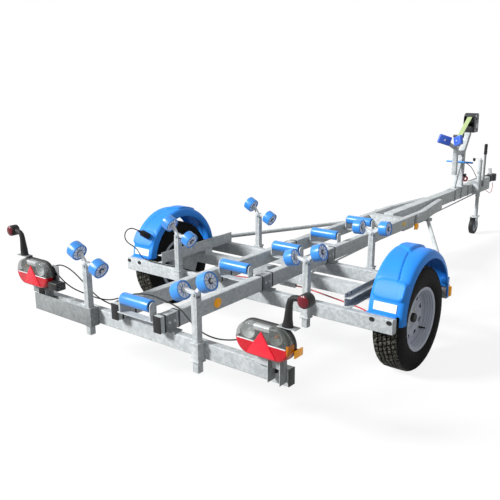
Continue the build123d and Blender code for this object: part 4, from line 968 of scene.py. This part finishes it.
def side_wheel(spokes):
    """One side roller about X: a soft tyre, and on each face a recessed hub with spokes and a dark middle."""
    half = [(22.5, 8.2), (22.5, 38), (26, 39.5), (27.5, 41), (27.4, 43), (25.5, 45.4), (22, 46)]
    profile = both_ways(half)
    parts = [(turned(profile, (0, 0, 0), (1, 0, 0), 40, closed=True), 0)]
    for face in (-1, 1):
        hub = turned([(22.6, 9), (23.2, 12), (23.2, 36.5), (22.6, 38)], (0, 0, 0), (face, 0, 0), 40)
        middle = turned([(23.0, 9), (27.0, 9.5), (27.0, 13), (23.0, 14)], (0, 0, 0), (face, 0, 0), 24)
        parts += [(hub, 1), (middle, 2)]
        for number in range(spokes):
            spoke = box((22.8, -0.9, 13), (25.2, 0.9, 36.5), 0.4, 1)
            spoke.transform(Matrix.Rotation(math.tau * number / spokes, 4, "X"))
            if face < 0:
                spoke.transform(Matrix.Rotation(math.pi, 4, "Z"))
            parts.append((spoke, 0))
    return join(parts)


class TRAILER_OT_lamps(bpy.types.Operator):
    """Rear lamps with red and clear lenses, triangles and reflector bowls, and the number plate lamp"""

    bl_idname = "trailer.lamps"
    bl_label = "Rear lamps"

    def execute(self, context):
        right = lamp_shape(AMBER_FROM)
        left = mirrored(lamp_shape(NO_AMBER))
        piece("lamp_lenses_moulded", mixed([right, left]),
              ["red_lens", "clear_lens", "amber_lens", "triangle_lens", "lamp_bowl", "label_film",
               "dull_zinc_and_shade", "lamp_tray", "side_reflector"],
              "frame", ["lamp_lenses"], sharp=40)
        eased("lamp_bodies", "cap_plastic", 0.006, 3)
        eased("number_lamp", "cap_plastic", 0.006, 3)
        hood = [(box((-648, -1214, 463), (-568, -1158, 509), 9.0, 3), 0)]
        hood.append((box((-567.5, -1206, 470), (-566, -1166, 500), 0.5), 1))
        piece("number_lamp_hood", join(hood), ["cap_plastic", "clear_lens"], "frame", [])
        eased("reflectors", "side_reflector", 0.0025, 2)
        arms = []
        for _, side in SIDES:
            arm = stalk_shape()
            arms.append(mirrored(arm) if side < 0 else arm)
        piece("marker_stalks_rubber", mixed(arms), ["soft_rubber", "marker_lens", "clear_lens"], "frame",
              ["marker_stalks"], sharp=40)
        return {"FINISHED"}


def split(shape, place, normal):
    """New edges where a plane passes through a shape."""
    everything = shape.verts[:] + shape.edges[:] + shape.faces[:]
    bmesh.ops.bisect_plane(shape, geom=everything, plane_co=place, plane_no=normal, dist=0.001)


def thicken(shape, depth):
    """A flat shape made solid along Y."""
    grown = bmesh.ops.extrude_face_region(shape, geom=shape.faces[:])["geom"]
    front = [item for item in grown if isinstance(item, bmesh.types.BMVert)]
    bmesh.ops.translate(shape, verts=front, vec=(0, depth, 0))
    bmesh.ops.recalc_face_normals(shape, faces=shape.faces)


def stadium(half_long, half_high, y_back, y_front, round_by):
    """A plate with round ends, across X and Z, its front edge rounded."""
    made = bmesh.new()
    upright = Matrix.Rotation(math.pi / 2, 4, "X")
    bmesh.ops.create_circle(made, cap_ends=True, segments=48, radius=half_high, matrix=upright)
    split(made, (0, 0, 0), (1, 0, 0))
    for point in made.verts:
        if abs(point.co.x) > 0.01:
            point.co.x += math.copysign(half_long - half_high, point.co.x)
    bmesh.ops.dissolve_limit(made, angle_limit=0.01, verts=made.verts, edges=made.edges)
    for point in made.verts:
        point.co.y = y_back
    thicken(made, y_front - y_back)
    rim = [e for e in made.edges if all(abs(v.co.y - y_front) < 0.01 for v in e.verts)]
    rounded(made, rim, round_by, 4)
    return made


def lamp_shape(amber_from):
    """A right lamp's front: red below, clear above two bowls, amber from a place outwards, a triangle."""
    lens = stadium(140.5, 74, LENS_BACK, -1211.0, 14.0)
    for height in (RED_TOP, AMBER_HIGH, AMBER_LOW):
        split(lens, (0, 0, height), (0, 0, 1))
    split(lens, (amber_from, 0, 0), (1, 0, 0))
    back = [f for f in lens.faces if all(abs(v.co.y - LENS_BACK) < 0.01 for v in f.verts)]
    bmesh.ops.delete(lens, geom=back, context="FACES_ONLY")
    for face in lens.faces:
        middle = face.calc_center_median()
        amber = middle.x > amber_from and AMBER_LOW < middle.z < AMBER_HIGH
        face.material_index = 2 if amber else 0 if middle.z < RED_TOP else 1
    bmesh.ops.solidify(lens, geom=lens.faces[:], thickness=2.5)
    mark = bmesh.new()
    corners = [mark.verts.new(spot) for spot in ((-76, -1206, -62), (76, -1206, -62), (0, -1206, 48))]
    mark.faces.new(corners)
    thicken(mark, -8.0)
    upright = [e for e in mark.edges if abs(e.verts[0].co.y - e.verts[1].co.y) > 1]
    rounded(mark, upright, 7.0, 4, clamp=False)
    front = [e for e in mark.edges if all(v.co.y < -1213 for v in e.verts)]
    rounded(mark, front, 2.0, 2, clamp=False)
    parts = [(mark, 3)]
    parts.append((box((-128, -1212.2, -6.6), (-38, -1204, -3.4), 0.8), 5))
    parts.append((box((36, -1212.2, -6.6), (122, -1204, -3.4), 0.8), 5))
    parts.append((stadium(134, 68, -1172.4, -1175.0, 1.0), 7))
    parts.append((box((-44, -1208, 46), (40, -1180, 71), 4.0), 5))
    for x in (-74, 66):
        bowl = turned([(0, 0), (3, 9), (9, 19), (17, 27), (25, 32), (28, 34), (28, 35.5), (0, 35.5)],
                      (x, -1175.0, 33), (0, -1, 0), 36)
        parts.append((bowl, 4 if x < 0 else 7))
        bulb = turned([(0, 6), (12, 7), (19, 6.5), (23, 4), (24.5, 0)], (x, -1175.0, 33), (0, -1, 0), 20)
        parts.append((bulb, 5 if x < 0 else 2))
    parts.append((box((145.5, -1184, -45), (152, -1124, -11), 2.5), 8))
    parts.append((box((78, -1148.4, -42), (146, -1146, -14), 0.8), 6))
    whole = mixed([lens, join(parts)])
    whole.transform(Matrix.Translation(LAMP_CENTRE))
    return whole


def stalk_shape():
    """The right marker: a tapered rubber arm that turns outwards, and a round head with two lenses."""
    y = -1171.5
    middle = (988, y, 738)
    arm = loft([
        ((901, y, 608), (0, 0, 1), 26, 20), ((901, y, 614), (0, 0, 1), 25, 19),
        ((903, y, 640), (0.05, 0, 1), 21, 17), ((906, y, 680), (0.06, 0, 1), 16.5, 15),
        ((909, y, 708), (0.15, 0, 1), 14, 14), ((914, y, 724), (0.5, 0, 1), 14, 13.5),
        ((925, y, 734), (1, 0, 0.5), 13.5, 13), ((940, y, 738), (1, 0, 0.1), 13.5, 13),
        ((962, y, 738.5), (1, 0, 0), 14, 14), ((980, y, 738), (1, 0, 0), 15, 15),
    ], 20)
    head = turned([(-23, 0), (-23, 26), (-21, 29), (-14, 30), (14, 30), (21, 29), (23, 26), (23, 0)],
                  middle, (0, 1, 0), 32)
    red = turned([(21, 27), (26, 26), (30, 20), (32.5, 11), (33, 0)], middle, (0, -1, 0), 32)
    clear = turned([(21, 27), (25, 26), (28, 20), (29.5, 11), (30, 0)], middle, (0, 1, 0), 32)
    return join([(arm, 0), (head, 0), (red, 1), (clear, 2)])


class TRAILER_OT_winch(bpy.types.Operator):
    """Winch with its drum, crank and strap, and the blue bow pads"""

    bl_idname = "trailer.winch"
    bl_label = "Winch and bow pads"

    def execute(self, context):
        eased("winch_frame", "winch_paint", 0.002, 2)
        eased("winch_drum", "winch_paint", 0.002, 2)
        eased("bow_pads", "pad_plastic", 0.009, 4)
        paint("winch_strap", "woven_strap")
        parts = []
        for y, z in ((3204, 1030), (3276, 1030), (3204, 1165), (3276, 1165)):
            parts.append((bolt((55.2, y, z), (1, 0, 0), 7.0), 0))
        boss = turned([(0, 22), (3, 21), (4, 14), (9, 13), (10, 0)], (55.2, 3240, 1072), (1, 0, 0), 24)
        parts.append((boss, 0))
        parts.append((box((-54, 3282, 1056), (54, 3292, 1186), 2.0), 1))
        pads = frame["nodes"]["bow_pads"].data
        for side in (-1, 1):
            rear = [face for face in pads.polygons if face.center.x * side > 0 and face.normal.y < -0.2]
            out = max(rear, key=lambda face: face.area).normal
            flat = [face for face in rear if face.normal.dot(out) > 0.99]
            middle = sum((face.center * face.area for face in flat), Vector())
            middle /= sum(face.area for face in flat)
            parts.append((bolt(TO_FRAME.inverted() @ middle + 0.2 * out, out, 7.0), 0))
        piece("winch_fixings", join(parts), ["plated_steel", "winch_paint"], "frame", [])
        return {"FINISHED"}


class TRAILER_OT_coupling(bpy.types.Operator):
    """Coupling head, ribbed bellows and the handbrake's grip"""

    bl_idname = "trailer.coupling"
    bl_label = "Coupling"

    def execute(self, context):
        profile = [(0, 30)]
        for fold in range(6):
            start = 14.6 * fold
            profile += [(2 + start, 33), (6 + start, 43.5), (9 + start, 43.5), (13 + start, 33)]
        profile += [(90, 30)]
        folds = turned(profile, (0, 3790, 470), (0, 1, 0), 36)
        piece("bellows_folded", folds, ["soft_rubber"], "frame", ["bellows"], sharp=60)
        head = eased("coupling_head", "winch_paint", 0.005, 3)
        head.data.materials.append(finish("plated_steel"))
        for face in head.data.polygons:
            face.material_index = 1 if face.center.z > 0.532 else 0
        rings = ((764, 0), (768, 3), (776, 4), (780, 2), (800, 3), (804, 1), (822, 3), (826, 1), (846, 3),
                 (860, 2), (866, -2), (868, -6))
        grip = loft([((59, 3560, z), (0, 0, 1), 13 + grow, 21 + grow) for z, grow in rings], 24)
        piece("handbrake_grip", grip, ["soft_rubber"], "frame", [], sharp=60)
        return {"FINISHED"}


class TRAILER_OT_jockey(bpy.types.Operator):
    """Jockey wheel with its rubber tyre and plain hub, and the crank on top of its tube"""

    bl_idname = "trailer.jockey"
    bl_label = "Jockey wheel"

    def execute(self, context):
        centre = (92, 3275, 80)
        half = [(14, 50), (18, 54), (22, 63), (23, 71), (19, 78), (11, 80)]
        tyre = turned(both_ways(half), centre, (1, 0, 0), 28, closed=True)
        half = [(23, 8.2), (23, 17), (15, 20), (13, 45), (18, 52)]
        hub = turned(both_ways(half), centre, (1, 0, 0), 32, closed=True)
        piece("jockey_wheel_tyred", join([(tyre, 0), (hub, 1)]), ["soft_rubber", "wheel_paint"],
              "jockey_wheel", ["jockey_wheel"])
        parts = [(rod((92, 3330, 733), (92, 3330, 752), 11, sides=24, round_by=2.0), 0)]
        parts.append((loft([((92 - reach, 3330, z), (-1, 0, 0), 7, 4) for reach, z in
                            ((-12, 746), (0, 746), (40, 746), (70, 746))], 16), 0))
        knob = [(0, 0), (1, 8), (5, 13), (20, 13.5), (30, 11), (34, 5), (35, 0)]
        parts.append((turned(knob, (30, 3330, 750), (0, 0, -1), 24), 1))
        piece("jockey_crank", join(parts), ["plated_steel", "cap_plastic"], "frame", [])
        return {"FINISHED"}


def band(low, high, y, width, thick):
    """A strap of flat bar round a tube that lies along Y, its corners rounded."""
    shape = bmesh.new()
    corners = [(low[0], low[1]), (high[0], low[1]), (high[0], high[1]), (low[0], high[1])]
    rings = [[shape.verts.new((x, y + shift, z)) for x, z in corners] for shift in (-width / 2, width / 2)]
    for number in range(4):
        far = (number + 1) % 4
        shape.faces.new((rings[0][number], rings[0][far], rings[1][far], rings[1][number]))
    along = [e for e in shape.edges if abs(e.verts[0].co.y - e.verts[1].co.y) > 0.1]
    rounded(shape, along, 5.0, 3, clamp=False)
    bmesh.ops.recalc_face_normals(shape, faces=shape.faces)
    bmesh.ops.solidify(shape, geom=shape.faces[:], thickness=-thick)
    return shape


def strand(places, radius):
    """A thin round cable through places, its ends closed."""
    rings = []
    for number, place in enumerate(places):
        before, after = places[max(0, number - 1)], places[min(len(places) - 1, number + 1)]
        rings.append((place, Vector(after) - Vector(before), radius, radius))
    return loft(rings, 10)


class TRAILER_OT_fittings(bpy.types.Operator):
    """Straps, bolts, plugs in the beams, tie bands dark as painted shade at the rail brackets, blank plates
    and labels, and the bar at the winch post
    """

    bl_idname = "trailer.fittings"
    bl_label = "Fittings"

    def execute(self, context):
        parts = []
        # Straps round the drawbar, in the darker zinc as painted shade for the gaps around them.
        for y in (2857, 3010, 3195):
            parts.append((band((-40.2, 393.8), (40.2, 494.2), y, 24, 3.0), 0))
        # Tie bands round the rails at the rail brackets' edges, in the winch's dark paint: painted shade for
        # the thin shadows there.
        for y in BEAM_Y:
            for shift in (-40, 55):
                parts.append((band((124.9, 393.9), (175.1, 480.1), y + shift, 10, 1.8), 8))
            for shift in (-40, 45):
                parts.append((band((-175.1, 393.9), (-124.9, 480.1), y + shift, 10, 1.8), 8))
        holes = [(x, -352.7, 377) for x in (-954, -858, 858, 954)]
        holes.append((810, -1128.7, 373))
        for x, y, z in holes:
            plug = turned([(0, 13), (1.5, 12.5), (2.5, 10), (1.5, 7), (1.0, 0)], (0, 0, 0), (0, -1, 0), 28)
            plug.transform(Matrix.Translation((x, y, z)) @ Matrix.Diagonal((1.25, 1.0, 0.95, 1.0)))
            parts.append((plug, 1))
        for side in (-1, 1):
            edges = sorted((side * 675.2, side * 679.0))
            parts.append((box((edges[0], -320, 446.2), (edges[1], 390, 468), 1.0), 6))
            # Black discs where the lips have holes: painted shade for the dark inside of each hole.
            for y in (-296, -250):
                painted_hole_shade = turned([(0, 6), (0.6, 5.5), (0.4, 0)], (side * 679.1, y, 457), (side, 0, 0), 20)
                parts.append((painted_hole_shade, 1))
        parts.append((box((175.1, 1436, 430), (176.3, 1492, 458), 0.4), 2))
        parts.append((box((175.1, 1660, 455), (176.0, 1706, 474), 0.3), 3))
        parts.append((box((175.1, 1716, 458), (176.0, 1742, 474), 0.3), 3))
        parts.append((rod((-128, 3015, 742), (130, 3015, 742), 9.0, sides=20, round_by=2.0), 4))
        parts.append((box((-680, -1150, 492), (-630, -1146, 584), 1.2), 0))
        parts.append((turned([(0, 9), (0.6, 8), (0.4, 0)], (-650, -1150.1, 535), (0, -1, 0), 20), 1))
        cable = ((30, 3081, 727), (34, 3140, 712), (40, 3230, 672), (44, 3300, 622), (46, 3359, 575),
                 (46, 3420, 530), (46, 3460, 497))
        parts.append((strand(cable, 3.5), 1))
        parts.append((strand(((47, 3147, 543), (47, 3270, 540), (47, 3400, 537), (47, 3511, 534)), 3.5), 1))
        turns = (0, 1.05, 2.09, 3.14, 4.19, 5.24)
        ring = [(9 * math.cos(turn), 20 + 9 * math.sin(turn)) for turn in turns]
        parts.append((turned(ring, (34, 3113, 570), (0.8, -0.6, 0), 28, closed=True), 7))
        parts.append((box((24, 3074, 594), (44, 3112, 622), 6.0), 1))
        loop = ((40, 3700, 380), (44, 3760, 352), (42, 3850, 322), (36, 3920, 330), (30, 3960, 372),
                (26, 3960, 420))
        parts.append((strand(loop, 3.0), 7))
        for side in (-1, 1):
            for y in BEAM_Y:
                for shift in (-17, 17):
                    parts.append((bolt((side * 181.2, y + shift, 440), (side, 0, 0), 6.5), 5))
        piece("fittings", join(parts),
              ["dull_zinc_and_shade", "cap_plastic", "type_plate", "label_film", "roller_plastic", "plated_steel",
               "galvanised_steel", "cable_sleeve", "winch_paint"],
              "frame", [])
        return {"FINISHED"}


class TRAILER_PT_panel(bpy.types.Panel):
    """Lists the pieces of the trailer"""

    bl_idname = "TRAILER_PT_panel"
    bl_label = "Boat trailer"
    bl_space_type = "VIEW_3D"
    bl_region_type = "UI"
    bl_category = "Trailer"

    def draw(self, context):
        for group in (context.scene.trailer_colours, context.scene.trailer_sizes):
            for name in group.bl_rna.properties.keys():
                if name not in ("rna_type", "name"):
                    self.layout.prop(group, name)
        for operator in OPERATORS:
            self.layout.operator(operator.bl_idname)


OPERATORS = (
    TRAILER_OT_stage, TRAILER_OT_leads, TRAILER_OT_steelwork, TRAILER_OT_wheels, TRAILER_OT_mudguards,
    TRAILER_OT_keel_rollers, TRAILER_OT_side_rollers, TRAILER_OT_lamps, TRAILER_OT_winch, TRAILER_OT_coupling,
    TRAILER_OT_jockey, TRAILER_OT_fittings,
)
CLASSES = (TrailerColours, TrailerSizes) + OPERATORS + (TRAILER_PT_panel,)


def register():
    for kind in CLASSES:
        bpy.utils.register_class(kind)
    bpy.types.Scene.trailer_colours = PointerProperty(type=TrailerColours)
    bpy.types.Scene.trailer_sizes = PointerProperty(type=TrailerSizes)


def unregister():
    del bpy.types.Scene.trailer_colours
    del bpy.types.Scene.trailer_sizes
    for kind in reversed(CLASSES):
        bpy.utils.unregister_class(kind)


def main():
    register()
    bpy.ops.trailer.stage()
    bpy.ops.trailer.leads()
    bpy.ops.trailer.steelwork()
    bpy.ops.trailer.wheels()
    bpy.ops.trailer.mudguards()
    bpy.ops.trailer.keel_rollers()
    bpy.ops.trailer.side_rollers()
    bpy.ops.trailer.lamps()
    bpy.ops.trailer.winch()
    bpy.ops.trailer.coupling()
    bpy.ops.trailer.jockey()
    bpy.ops.trailer.fittings()


if __name__ == "__main__":
    main()
